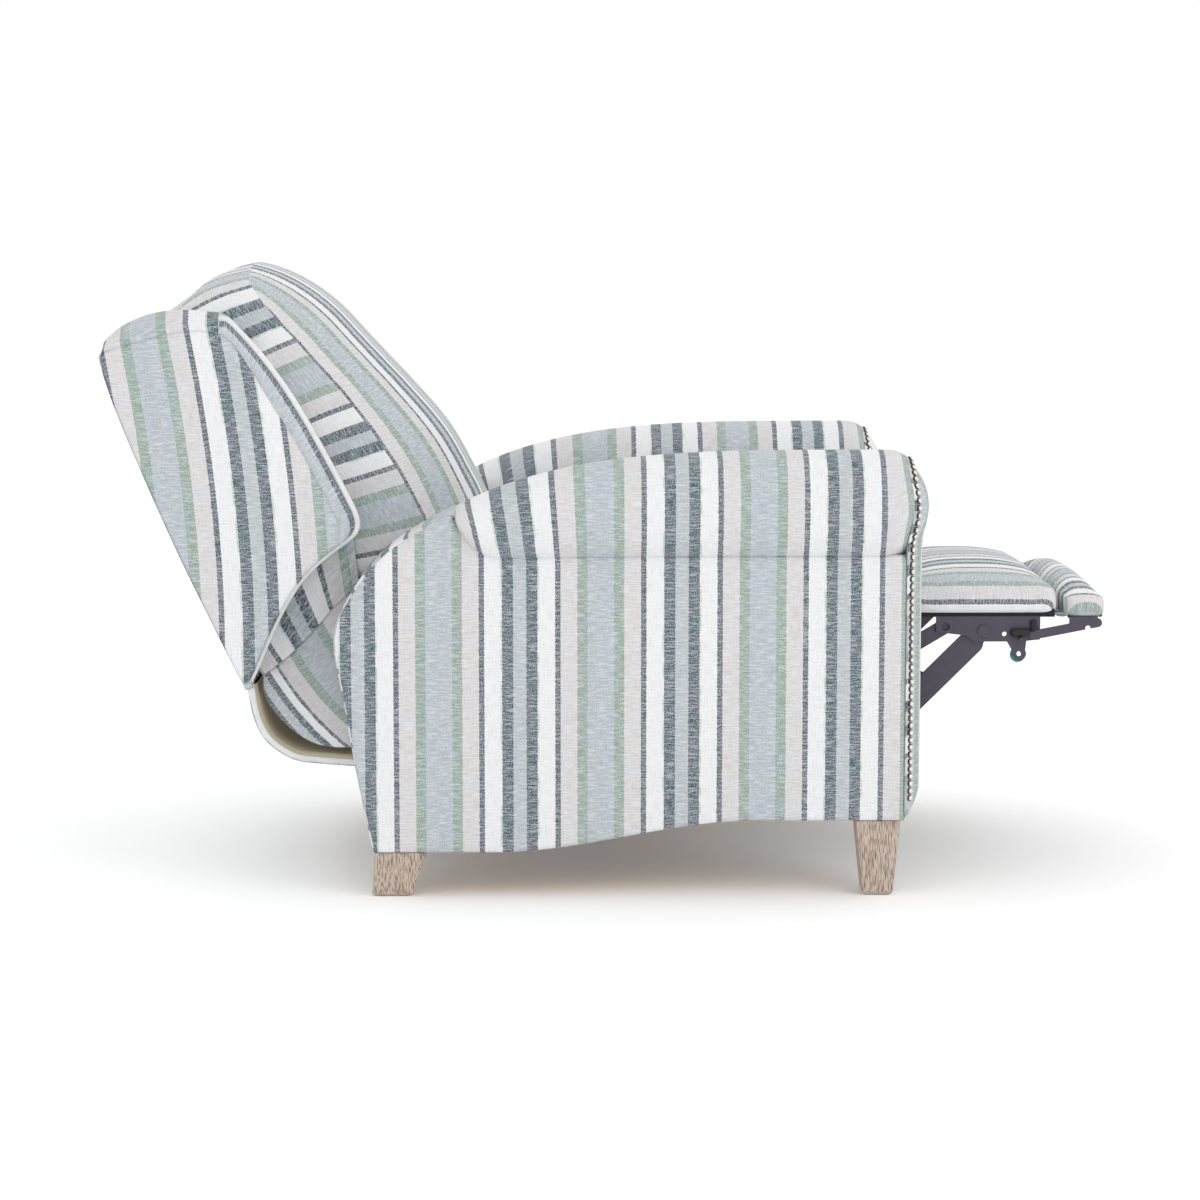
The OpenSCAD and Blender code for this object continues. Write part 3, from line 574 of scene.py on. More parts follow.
def grid(points, cloth):
    """Quads over rows of points"""
    rows, columns = points.shape[:2]
    faces = [
        (i * columns + j, i * columns + j + 1, (i + 1) * columns + j + 1, (i + 1) * columns + j)
        for i in range(rows - 1) for j in range(columns - 1)
    ]
    return points.reshape(-1, 3), faces, np.broadcast_to(cloth, (rows, columns, 2)).reshape(-1, 2)


def ring_closed(points):
    """Rows of rings with their first point repeated at the end"""
    return np.concatenate([points, points[:, :1]], 1)


def hub(rings):
    """The middle of each ring, as a ring of equal points"""
    return np.broadcast_to(rings[:, :-1].mean(1, keepdims=True), rings.shape)


print("points within", SEAM, "mm are sewn together")

# %% [markdown]
# ## Filling a flat outline
# A padded panel is a flat outline whose middle swells. panel_face() fills an outline with
# triangles, with extra rings of points near the edge where the cloth turns, and tells the
# shape how deep each point lies inside.

# %% Fill an outline
def depth_inside(points, edge):
    """Distance of each point to the edge"""
    a, ab = edge, np.roll(edge, -1, 0) - edge
    to = points[:, None] - a
    t = np.clip((to * ab).sum(-1) / np.maximum((ab**2).sum(-1), 1e-9), 0, 1)
    return np.linalg.norm(to - t[..., None] * ab, axis=-1).min(1)


def is_inside(points, edge):
    """True where a point lies inside the edge"""
    a, b = edge, np.roll(edge, -1, 0)
    x, y = points[:, None, 0], points[:, None, 1]
    rise = np.where(b[:, 1] == a[:, 1], 1e-9, b[:, 1] - a[:, 1])
    at = (b[:, 0] - a[:, 0]) * (y - a[:, 1]) / rise + a[:, 0]
    return (((a[:, 1] > y) != (b[:, 1] > y)) & (x < at)).sum(1) % 2 == 1


def panel_face(edge, place, cloth, pitch=11, rings=(1.2, 3.5, 7, 12)):
    """Triangles inside an edge; place(points, depth) gives shop points, cloth(points) the map"""
    edge = anticlockwise(np.asarray(edge, float))
    left = sideways(edge)
    near = [edge + d * left for d in rings]
    near = [p[(depth_inside(p, edge) > 0.85 * d) & is_inside(p, edge)] for p, d in zip(near, rings)]
    low, high = edge.min(0), edge.max(0)
    field = []
    for i, y in enumerate(np.arange(low[1] + pitch / 2, high[1], pitch * 0.87)):
        row = np.arange(low[0] + (i % 2) * pitch / 2, high[0], pitch)
        field.append(np.column_stack([row, np.full_like(row, y)]))
    field = np.vstack(field)
    field = field[is_inside(field, edge) & (depth_inside(field, edge) > rings[-1] + pitch * 0.5)]
    flat = np.vstack([edge, *near, field])
    points, _, faces, *_ = delaunay_2d_cdt([Vector(p) for p in flat], [], [list(range(len(edge)))], 1, 1e-4)
    used = sorted({i for face in faces for i in face})
    order = {old: new for new, old in enumerate(used)}
    flat = np.array([points[i][:] for i in used])
    depth = depth_inside(flat, edge)
    return place(flat, depth), [tuple(order[i] for i in face) for face in faces], cloth(flat)


def rounded(depth, radius):
    """0 at an edge, rising in a quarter round to 1 at radius inside it"""
    t = np.clip(depth / radius, 0, 1)
    return np.sqrt(1 - (1 - t) ** 2)


def plane(x):
    """A flat back for panel_face(), at a place across the chair"""
    return lambda points, depth: at_x(x, points)


print("panels are filled with triangles")

# %% [markdown]
# ## Subdivision and cord
# Welt cord is a strip of cloth sewn round a string and caught in a seam. It is swept here as a
# thin tube along the seam's own points. Its stripes run slanting, because the strip is cut on
# the bias.

# %% Subdivide, and sweep a cord
def refine(piece):
    """Subdivide once and keep the result"""
    step = piece.modifiers.new("Refine", "SUBSURF")
    step.levels = step.render_levels = 1
    held = bpy.context.evaluated_depsgraph_get()
    mesh = bpy.data.meshes.new_from_object(piece.evaluated_get(held))
    piece.modifiers.clear()
    piece.data = mesh


def shape_of(piece):
    """Shop points of a piece"""
    flat = np.empty(len(piece.data.vertices) * 3)
    piece.data.vertices.foreach_get("co", flat)
    return to_shop(flat.reshape(-1, 3))


def nearest(piece, line):
    """The piece's vertices that lie nearest to a line's points"""
    points = shape_of(piece)
    return [int(np.argmin(((points - p) ** 2).sum(1))) for p in np.asarray(line)]


def tube(line, radius, sides=10):
    """A swept tube with rounded ends, as rows of rings"""
    line = np.asarray(line, float)
    along = np.gradient(line, axis=0)
    along /= np.linalg.norm(along, axis=1, keepdims=True)
    normal = np.cross(along[0], [0.3, 0.5, 0.81])
    rings = []
    angles = np.linspace(0, 2 * math.pi, sides + 1)
    for p, t in zip(line, along):
        normal = normal - t * (normal @ t)
        normal /= np.linalg.norm(normal)
        other = np.cross(t, normal)
        rings.append(p + radius * (np.cos(angles)[:, None] * normal + np.sin(angles)[:, None] * other))
    rings = np.array(rings)
    middle = hub(rings)
    nose = along[[0, -1]] * [[-radius], [radius]] * 0.6
    return np.concatenate([middle[:1] + nose[0], 0.5 * (rings[:1] + middle[:1]) + 0.8 * nose[0], rings,
                           0.5 * (rings[-1:] + middle[-1:]) + 0.8 * nose[1], middle[-1:] + nose[1]])


def cord_part(line, radius):
    """Welt cord along a line, with cloth cut on the bias"""
    rings = tube(spaced(line, 5), radius)
    s = run(rings[:, 0])[:, None] + np.zeros(rings.shape[1])
    w = np.linspace(0, 2 * math.pi * radius, rings.shape[1])
    return grid(rings, np.stack([0.7 * (s + w), 0.7 * (s - w)], -1))


print("cords have a point every 5 mm")

# %% [markdown]
# ## Swelling the cushions
# A filled cushion swells until its cover is tight. Cloth simulation does that well: the cover
# is given some pressure from inside and no weight, runs for twenty frames, and keeps the shape
# that it took. A cap on how far a point may move keeps every cushion inside its seat.

# %% Swell a piece with cloth simulation
SWELL_FRAMES = 20


def swell(piece, cap, pressure=4.0, slack=0.0, held=()):
    """Let the cover fill; no point moves further than cap, in mm, and held vertices stay"""
    before = shape_of(piece)
    cloth = piece.modifiers.new("Cloth", "CLOTH")
    cloth.point_cache.frame_start, cloth.point_cache.frame_end = 1, SWELL_FRAMES
    cloth.settings.quality = 6
    cloth.settings.mass = 0.3
    cloth.settings.use_pressure = True
    cloth.settings.uniform_pressure_force = pressure
    cloth.settings.effector_weights.gravity = 0
    cloth.settings.shrink_min = -slack
    if len(held):
        group = piece.vertex_groups.new(name="held")
        group.add([int(i) for i in held], 1.0, "REPLACE")
        cloth.settings.vertex_group_mass = "held"
    for number in range(1, SWELL_FRAMES + 1):
        bpy.context.scene.frame_set(number)
    settled = piece.evaluated_get(bpy.context.evaluated_depsgraph_get()).data
    flat = np.empty(len(settled.vertices) * 3)
    settled.vertices.foreach_get("co", flat)
    move = to_shop(flat.reshape(-1, 3)) - before
    far = np.linalg.norm(move, axis=1, keepdims=True)
    after = before + move * np.minimum(1, cap / np.maximum(far, 1e-6))
    piece.modifiers.remove(cloth)
    piece.vertex_groups.clear()
    piece.data.vertices.foreach_set("co", to_frame(after).ravel())
    piece.data.update()
    bpy.context.scene.frame_set(1)
    print(piece.name, "swelled up to", round(float(np.minimum(far, cap).max()), 1), "mm")


# %% [markdown]
# ## Putting pieces on the chair
# Each finished piece rides on the body that carries it, and hides the plain solids that it
# stands for. Most pieces of a chair come in pairs, so one helper sews a left one and its mirror
# image.

# %% Ride on a body, and mirror
pieces = []
SIDES = (("left", False), ("right", True))


def done(piece, *nodes, fill=None):
    """The piece rides on its body and stands for its plain solids"""
    if nodes:
        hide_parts(*nodes)
    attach(piece, piece["body"])
    pieces.append(piece.name)


def flatten(piece):
    """Shade a piece flat, where its faces meet in hard edges"""
    piece.data.polygons.foreach_set("use_smooth", [False] * len(piece.data.polygons))


def pair(name, body, parts, material, stands_for=None, fill=None, flat=False):
    """A piece for each side of the chair; stands_for is the family of plain solids it hides"""
    for side, mirror in SIDES:
        piece = sew(f"{name}_{side}", body, parts, material, mirror)
        if flat:
            flatten(piece)
        done(piece, *([f"{stands_for}_{side}"] if stands_for else []), fill=fill)
    return piece


print("sides:", *[side for side, _ in SIDES])

# %% [markdown]
# ## The arms: outline
# From the side an arm is a tall board with a swept rear edge and a gently curved lower edge.
# Its cover is cut so that a navy group falls every repeat from the rear, and the same stripes
# run on over the roll.

# %% Outline of the arm
ARM_IN, ARM_OUT = span("arm_roll_left")[0]
BOX_IN, BOX_OUT = span("arm_frame_left")[0]
PANEL_OUT = span("arm_outer_panel_left")[0][1]
ARM_TOP = span("arm_roll_left")[2][1]
BOX_FRONT = span("arm_frame_left")[1][1]
ROLL_REAR = span("arm_roll_left")[1][0]
FRONT_LEG_H = span("front_leg_left")[2][1]
REAR_LEG_H = span("rear_leg_left")[2][1]
SEAM_Z = 488
# A navy group lies here on the arms
ARM_GROUP_F = -343.3

REAR_LINE = flow([
    (-324, 64), (-334, 110), (-350, 190), (-363, 276), (-378, 350), (-379, 372), (-372, 402),
    (-350, 440), (-328, 470), (-304, 495), (-273, 516), (-244, 534), (-213, 550), (-200, 552),
    (-186, 551),
], 7)


def arm_bottom(f):
    """Height of the arm's lower edge, from the rear leg's top to the front leg's"""
    return REAR_LEG_H + (FRONT_LEG_H - REAR_LEG_H) * smooth((f + 150) / 370)


def roll_low(f):
    """Height of the seam under the roll; it turns up at the rear end"""
    return SEAM_Z + 50 * np.clip((-142 - f) / 62, 0, 1) ** 2.2


COVER_REAR = REAR_LINE - 1.5 * sideways(REAR_LINE, closed=False)
COVER_REAR = COVER_REAR[COVER_REAR[:, 0] < ROLL_REAR - 1]
seam_fs = np.linspace(ROLL_REAR, BOX_FRONT, 70)
# The side covers reach this far up under the roll
TUCK = 2
UNDER_ROLL = np.stack([seam_fs, roll_low(seam_fs) + TUCK], 1)
low_fs = np.linspace(BOX_FRONT, COVER_REAR[0, 0], 70)
LOW_LINE = np.stack([low_fs, arm_bottom(low_fs)], 1)
FRONT_LINE = spaced([UNDER_ROLL[-1], LOW_LINE[0]], 9)
arm_long = float(BOX_FRONT - REAR_LINE[:, 0].min())
print("arm", round(arm_long), "mm long,", round(float(ARM_TOP)), "mm high")

# %% [markdown]
# ## The arms: side covers
# The outer cover lies flat on a thin pad and swells by a few millimetres. A flat board with a
# bevel would look hard here, so the edge is a quarter round and the face a shallow dome.

# %% Outer and inner side covers
def upright(points):
    """Cloth that hangs straight, with its stripes upright"""
    return np.stack([points[:, 0] - ARM_GROUP_F, points[:, 1]], 1)


def side_cover(x_back, x_face, edge, dome=2.5):
    """A padded face with a rounded edge and a shallow dome, closed at the back"""
    def place(p, depth):
        x = x_back + (x_face - x_back) * rounded(depth, 7)
        x = x + math.copysign(dome, x_face - x_back) * (1 - np.exp(-depth / 45))
        return np.column_stack([x, p])

    return [panel_face(edge, place, upright), panel_face(edge, plane(x_back), upright, 60, (20,))]


outer_edge = joined(COVER_REAR, spaced([COVER_REAR[-1], UNDER_ROLL[0]], 4), UNDER_ROLL, FRONT_LINE,
                    LOW_LINE, spaced([LOW_LINE[-1], COVER_REAR[0]], 4))
INNER_LOW = span("arm_inner_panel_left")[2][0]
inner_rear = COVER_REAR[COVER_REAR[:, 1] > INNER_LOW]
# The inner cover goes on up under the roll and into the box, so that no bare wood shows above it
TUCKED = UNDER_ROLL + [0, 4]
front_foot, rear_foot = (BOX_FRONT, INNER_LOW), (inner_rear[0, 0], INNER_LOW)
inner_edge = joined(inner_rear, spaced([inner_rear[-1], TUCKED[0]], 4), TUCKED,
                    spaced([TUCKED[-1], front_foot], 9), spaced([front_foot, rear_foot], 9),
                    spaced([rear_foot, inner_rear[0]], 4))
covers = {
    "outer": side_cover(BOX_OUT, PANEL_OUT, outer_edge),
    "inner": side_cover(BOX_IN + 18, ARM_IN, inner_edge, dome=0),
}
for side, mirror in SIDES:
    for face, parts in covers.items():
        cover = sew(f"arm_cover_{face}_{side}", "base", parts, striped_linen, mirror=mirror)
        done(cover, f"arm_{face}_panel_{side}", fill=0.8)
        print(cover.name, len(cover.data.polygons), "faces")

# %% [markdown]
# ## The arms: rear bands
# A strip of the same cloth closes the arm from its rear foot, up round the shoulder, to the
# roll. It is cut across the stripes, so they cross it, and its two long seams pull in a little.

# %% Rear bands
# The band's foot lies this far from the middle of a navy group
BAND_START = 17.4


def band_part():
    """Rows along the rear edge; both ends tuck in behind the side covers"""
    inward = sideways(REAR_LINE, closed=False)
    columns = [(ARM_IN + 9, 8), (ARM_IN + 6, 2.5), (ARM_IN + 10, 0.4)]
    columns += [(x, -0.8) for x in np.linspace(ARM_IN + 18, PANEL_OUT - 18, 9)]
    columns += [(PANEL_OUT - 10, 0.4), (PANEL_OUT - 6, 2.5), (PANEL_OUT - 9, 8)]
    points = np.stack([at_x(x, REAR_LINE - drop * inward) for x, drop in columns], 1)
    return grid(points, paired(run(REAR_LINE) + BAND_START, np.array([x for x, _ in columns])))


pair("arm_band_cover", "base", [band_part()], striped_linen, stands_for="arm_band")
print("band", round(float(run(REAR_LINE)[-1])), "mm long")

# %% [markdown]
# ## The arms: rolls
# The roll is a firm, round bolster along the arm top. Its stripes stand upright at the front
# and lean at the rear, where the cover is pulled back and down into the shoulder seam.

# %% Rolls
ROLL_X = (ARM_IN + ARM_OUT) / 2
ROLL_HALF = (ARM_OUT - ARM_IN) / 2
ROLL_DROP = 78


def power(value, exponent):
    """A power that keeps the sign of its value"""
    return np.sign(value) * np.abs(value) ** exponent


def roll_top(f):
    """Height of the roll's top, which drops at the rear end"""
    t = (BOX_FRONT - f) / (BOX_FRONT - ROLL_REAR)
    return ARM_TOP - ROLL_DROP * np.clip(t, 0, 1) ** 4


def end_drop(f):
    """How far the roll's front end is rounded in"""
    radius = 40
    return radius - np.sqrt(radius**2 - np.clip(f - BOX_FRONT + 24, 0, 24) ** 2)


def forward(z):
    """The scroll bulges towards the sitter's knees"""
    return 7.5 * np.exp(-((z - 558) / 38) ** 2)


def roll_parts():
    """The bolster's skin, its rear cap and its front end; the stripes follow the pull of the cover"""
    rear_fs = ROLL_REAR + np.array([0, 2, 5, 10, 17, 26])
    fs = np.concatenate([rear_fs, np.linspace(ROLL_REAR + 36, BOX_FRONT, 62)])
    shares = np.interp(fs - ROLL_REAR, [0, 2, 5, 10, 26, 60, 120], [0.6, 0.76, 0.84, 0.9, 0.96, 0.99, 1])
    angles = np.linspace(-math.pi / 2, 1.5 * math.pi, 49)
    rows, cloth = [], []
    for f, share in zip(fs, shares):
        low, top = roll_low(f) - 12 + end_drop(f), roll_top(f) - end_drop(f)
        half = (top - low) / 2
        lower = np.sin(angles) < 0
        e = np.where(lower, 0.74 + 0.26 * smooth((f - BOX_FRONT + 40) / 40), 0.95)
        x = ROLL_X + share * (ROLL_HALF - end_drop(f)) * power(np.cos(angles), e)
        grow = 1 - (1 - share) * 0.5
        z = low + half + grow * half * power(np.sin(angles), e)
        rows.append(np.column_stack([x, f + forward(z) * smooth((f - BOX_FRONT + 40) / 40), z]))
        height = np.clip((z - low) / (2 * half), 0, 1)
        pull = 21 * smooth((50 - f) / 254)
        around = run(rows[-1])
        cloth.append(np.column_stack([f - ARM_GROUP_F + pull * height, around]))
    rows, cloth = np.array(rows), np.array(cloth)
    middle = hub(rows[:1])
    cap = np.concatenate([middle, 0.6 * rows[:1] + 0.4 * middle, rows[:1]])
    cap[:2, :, 1] -= [[1.0], [0.8]]
    cap_cloth = np.concatenate([cloth[:1] - [12, 0], cloth[:1] - [6, 0], cloth[:1]])
    front = np.concatenate([rows[-1:], hub(rows[-1:])])
    front_cloth = np.concatenate([cloth[-1:], cloth[-1:]])
    return [grid(rows, cloth), grid(cap, cap_cloth), grid(front, front_cloth)]


pair("arm_roll_cover", "base", roll_parts(), striped_linen, stands_for="arm_roll", fill=0.9)
print("roll", round(float(BOX_FRONT - ROLL_REAR)), "mm long")

# %% [markdown]
# ## The arms: fronts
# Each front is a padded panel shaped like a scroll on a post, set on a narrow boxing strip.
# The outline is one line: round the scroll, down the post and round its foot. Rings of that
# line, each drawn in a little further, make the boxing, the nailed border and the pad.

# %% Arm fronts
SCROLL_R = ROLL_HALF
SCROLL_H = 1.14 * SCROLL_R
SCROLL_Z = ARM_TOP - SCROLL_H
# Rings of the front: how far each stands ahead of the box, and how far it is drawn in
FRONT_STEPS = [(-1, 7.6), (2.6, 10.2), (5.2, 12.6), (7.9, 15.5), (9.8, 18.5), (11.5, 21.5),
               (14, 25.2), (16.5, 29), (18.6, 33), (20.5, 37), (22.4, 41.5), (24, 46)]
SCROLL_STEPS, POST_STEPS = 57, 33
# A navy group stands this far across, near the inner edge of each front
FRONT_GROUP_X = 276.0


def front_line(o):
    """The front's outline drawn in by o, from the outer neck over the scroll"""
    lower = o - 6.5
    x0, x1, z0, c = BOX_IN + lower, PANEL_OUT - lower, arm_bottom(BOX_FRONT) + lower, 14
    r, h = SCROLL_R - o, SCROLL_H - o
    a0 = -math.acos((x1 - ROLL_X) / r)
    a1 = 2 * math.pi - math.acos((x0 - ROLL_X) / r)
    scroll = np.linspace(a0, a1, SCROLL_STEPS)
    bend = np.radians(np.linspace(0, 90, 6))
    inner_neck = SCROLL_Z + h * math.sin(a1)
    outer_neck = SCROLL_Z + h * math.sin(a0)
    down = np.linspace(inner_neck, z0 + c, POST_STEPS + 1)[1:-1]
    up = np.linspace(z0 + c, outer_neck, POST_STEPS + 1)[1:]
    # Round the scroll, down the inner side, round the foot's two corners, and up again
    return np.vstack([
        np.column_stack([ROLL_X + r * np.cos(scroll), SCROLL_Z + h * np.sin(scroll)]),
        np.column_stack([np.full_like(down, x0), down]),
        np.column_stack([x0 + c - c * np.cos(bend), z0 + c - c * np.sin(bend)]),
        np.column_stack([x1 - c + c * np.sin(bend), z0 + c - c * np.cos(bend)]),
        np.column_stack([np.full_like(up, x1), up]),
    ])


def at_front(line, step):
    """Points [across, height], stood up this far ahead of the box, on the bulge of the scroll"""
    return np.column_stack([line[:, 0], BOX_FRONT + step + forward(line[:, 1]), line[:, 1]])


def front_parts():
    """Boxing, nailed border, domed pad and flat back"""
    loops = np.array([at_front(front_line(o), step) for step, o in FRONT_STEPS])
    s = run(front_line(8)) - 40
    side_cloth = np.stack([np.column_stack([s, np.full_like(s, step)]) for step, _ in FRONT_STEPS[:3]])
    face_cloth = np.stack([loops[2:, :, 0] - FRONT_GROUP_X, loops[2:, :, 2]], -1)

    def pad(p, depth):
        return at_front(p, FRONT_STEPS[-1][0]) + [0, 1, 0] * (2 * (1 - np.exp(-depth / 15)))[:, None]

    def back(p, depth):
        return at_front(p, FRONT_STEPS[0][0])

    def cloth(p):
        return np.column_stack([p[:, 0] - FRONT_GROUP_X, p[:, 1]])

    return [grid(loops[:3], side_cloth), grid(loops[2:], face_cloth),
            panel_face(front_line(FRONT_STEPS[-1][1])[:-1], pad, cloth, 9, (4,)),
            panel_face(front_line(FRONT_STEPS[0][1])[:-1], back, cloth, 60, (20,))]


front = pair("arm_front_cover", "base", front_parts(), striped_linen, stands_for="arm_front", fill=0.7)
print("front panel", len(front.data.polygons), "faces")

# %% [markdown]
# ## Nail heads
# Close nailing runs up both edges of each front and round the scroll, one head touching the
# next. A nail head is a low dome with a slightly flattened rim. One head is drawn and set by a
# loop along the border, tilted with it.

# %% Nail heads
NAIL_PITCH, NAIL_R, NAIL_H = 10.4, 4.6, 2.9
NAIL_IN = 14
NAIL_TILT = math.radians(47)
# Shares of that radius and height, from under the rim to the top
NAIL_PROFILE = [(0, -0.6), (1.0, -0.6), (1.04, 0.1), (0.97, 0.35), (0.82, 0.62), (0.6, 0.84),
                (0.33, 0.96), (0, 1)]


def nail_places():
    """Place [x, z] of each nail head and the angle at which its border faces"""
    line = front_line(NAIL_IN)
    path = spaced(np.vstack([line[-POST_STEPS:], line[:SCROLL_STEPS + POST_STEPS - 1]]), NAIL_PITCH)
    out = -sideways(path, closed=False)
    return [(x, z, math.atan2(b, a)) for (x, z), (a, b) in zip(path, out)]


def nail_part(x, z, a):
    """One domed head on the slanted border"""
    lean = math.cos(NAIL_TILT)
    out = np.array([math.cos(a) * lean, math.sin(NAIL_TILT), math.sin(a) * lean])
    side = np.array([-math.sin(a), 0, math.cos(a)])
    other = np.cross(out, side)
    angles = np.linspace(0, 2 * math.pi, 15)[:, None]
    around = np.cos(angles) * side + np.sin(angles) * other
    base = np.array([x, BOX_FRONT + 6.5 + forward(z), z]) + 0.9 * out
    rings = np.array([base + out * h * NAIL_H + NAIL_R * r * around for r, h in NAIL_PROFILE])
    return grid(rings, np.array([[[h / MM, 0]] for _, h in NAIL_PROFILE]))


nails = [nail_part(*place) for place in nail_places()]
pair("nail_heads", "base", nails, pewter, stands_for="nail_trim")
print(len(nails), "nail heads a side")

# %% [markdown]
# ## Legs
# Four square legs taper to the floor. Their corners are eased with a small chamfer that
# catches the light, which a plain block would lack.

# %% Legs
FRONT_LEG_REAR = span("front_leg_left")[1][0]
# Where each leg starts and ends, forward: at its foot and at its top
LEG_ENDS = {"front": ((374, 417), (FRONT_LEG_REAR, 427)), "rear": ((-327, -270), (-322, -248))}
# The foot's width, as a share of the top's
FOOT_SHARE = 46 / 62


def leg_part(end):
    """A tapered post with eased corners"""
    (x0, x1), _, (z0, z1) = span(end + "_leg_left")
    (foot_rear, foot_ahead), (top_rear, top_ahead) = LEG_ENDS[end]
    xm, c = (x0 + x1) / 2, 3.2
    rows = []
    for share, ease in ((0, 3), (0.02, 1.2), (0.05, 0), (0.3, 0), (0.65, 0), (0.98, 0), (1, 0.6)):
        z = z0 + share * (z1 - z0)
        half = (x1 - x0) / 2 * (FOOT_SHARE + (1 - FOOT_SHARE) * share) - ease
        rear = foot_rear + (top_rear - foot_rear) * share + ease
        ahead = foot_ahead + (top_ahead - foot_ahead) * share - ease
        right = [(half - c, rear), (half - 1, rear + 1), (half, rear + c), (half, ahead - c),
                 (half - 1, ahead - 1), (half - c, ahead)]
        rows.append([(xm + x, f, z) for x, f in right + [(-x, f) for x, f in right[::-1]]])
    rows = ring_closed(np.array(rows))
    return grid(np.concatenate([hub(rows[:1]), rows, hub(rows[-1:])]), np.zeros(2))


for end in LEG_ENDS:
    pair(end + "_leg_turned", "base", [leg_part(end)], leg_wood, end + "_leg", flat=True)
print(2 * len(LEG_ENDS), "legs")

# %% [markdown]
# ## Boxed cushions
# The seat, the back and the footrest pads are boxed cushions: a face, a back, and a strip
# between them. A face is drawn as a grid whose rim is the seam. boxing() sews the strip
# between two rims and lets it swell outwards.

# %% Rims and boxing
REPEAT_HALF = REPEAT / 2
# The higher, the flatter a cushion's face is before it rounds off to its seam
CROWN = 2.6
# A seam that is drawn in keeps this share of the full width
SEAM_SHARE = 0.985


def rim(points):
    """The closed edge of a grid, its first point repeated at the end"""
    edge = [points[0, :-1], points[:-1, -1], points[-1, :0:-1], points[:0:-1, 0], points[:1, 0]]
    return np.concatenate(edge)


def boxing(upper, lower, bulge, cloth, rows=7):
    """A strip between two rims; cloth(distance along, points) gives its place across the stripes"""
    a, b = rim(upper), rim(lower)
    ends = np.vstack([a[-2:-1], a, a[1:2]])
    out = np.cross(ends[2:] - ends[:-2], b - a)
    out /= np.maximum(np.linalg.norm(out, axis=1, keepdims=True), 1e-9)
    if np.sum(out * (a - a.mean(0))) < 0:
        out = -out
    shares = np.linspace(0, 1, rows)[:, None, None]
    points = a + shares * (b - a) + bulge * np.sin(math.pi * shares) * out
    depth = np.linalg.norm(b - a, axis=1) * shares[..., 0]
    across = np.broadcast_to(cloth(run(a), a), depth.shape)
    return grid(points, np.stack([across, depth], -1))


def face_across(x, half, side_arc, crown_mm):
    """Distance over a crowned face from its middle to x, scaled to side_arc at the seam"""
    xs = np.linspace(0, half, 60)
    arc = run(np.column_stack([xs, crown_mm * (1 - (xs / half) ** CROWN)]))
    return np.interp(np.abs(x), xs, arc / arc[-1] * side_arc)


print("half a repeat is", REPEAT_HALF, "mm")

# %% [markdown]
# ## The inside back cushion
# The back cushion is thick, crowned and slightly slack. Its face carries the stripes
# lengthwise, a pale blue one down the middle, and a thin navy line follows each side seam.
# The strip round its edge is cut the other way, so its stripes cross it.

# %% Inside back cushion
PAD_HALF = span("inside_back_cushion")[0][1]
SEAM_HALF = SEAM_SHARE * PAD_HALF
# Places u up the back, with how far forward the front seam lies there, and the boxing's tilt
SEAM_AT = ([40, 128, 194, 256, 321, 393, 462, 519, 560], [331, 327, 321, 310, 294, 271, 251, 236, 226])
TILT_AT = ([50, 100, 160, 260, 350, 430, 480, 530], [0.24, 0.2, 0.12, 0.06, 0.02, 0, 0, 0.01])
CUSHION_LOW_V = 78
SEAM_LOW_U, SEAM_TOP_U = 42, 524
LOW_CORNER, TOP_CORNER = 24, 52
# Cloth from the middle of the face to its side seam; a thin navy line then follows the seam
FACE_ARC = 289.3
# A navy group crosses the boxing this far up the side
SIDE_GROUP_U = 470


def crown(u):
    """How far the middle of the face stands ahead of its seam"""
    return np.interp(u, [60, 220, 330, 435, 524], [74, 78, 67, 64, 61])


def back_grids():
    """Face, front seam and rear of the cushion as grids, with the place of each point on it"""
    u = np.concatenate([SEAM_LOW_U + np.array([0, 4, 10, 18, 28]), np.linspace(84, 480, 28),
                        [490, 499, 507, 513, 518, 521.5, SEAM_TOP_U]])
    k = np.sin(np.linspace(-math.pi / 2, math.pi / 2, 45)) * 0.45 + np.linspace(-1, 1, 45) * 0.55
    uu, kk = np.meshgrid(u, k, indexing="ij")
    seam_v = np.interp(uu, *SEAM_AT)
    top = np.clip((uu - SEAM_TOP_U + TOP_CORNER) / TOP_CORNER, 0, 1)
    low = np.clip((SEAM_LOW_U + LOW_CORNER - uu) / LOW_CORNER, 0, 1)
    half = SEAM_HALF - TOP_CORNER * (1 - np.sqrt(1 - top**2)) - LOW_CORNER * (1 - np.sqrt(1 - low**2))
    x = kk * half
    top_end = 1 - (1 - np.clip((SEAM_TOP_U - uu) / 120, 0, 1)) ** 2.4
    low_end = 1 - 0.6 * (1 - np.clip((uu - SEAM_LOW_U) / 60, 0, 1)) ** 2.4
    swell_v = crown(uu) * (1 - np.abs(x / SEAM_HALF) ** CROWN) * (top_end * low_end)
    v = seam_v + np.minimum(swell_v, crown(uu) * (1 - np.abs(kk) ** CROWN))
    arch = 26 * smooth((uu - 400) / 124) * (1 - (x / 205) ** 2)
    tilt = np.interp(uu, *TILT_AT)

    def place(v_at):
        side = bk(uu + arch + tilt * (seam_v - v_at), v_at)
        return np.concatenate([x[..., None], side], -1)

    return place(v), place(seam_v), place(np.full_like(v, CUSHION_LOW_V + 1.5)), x, uu


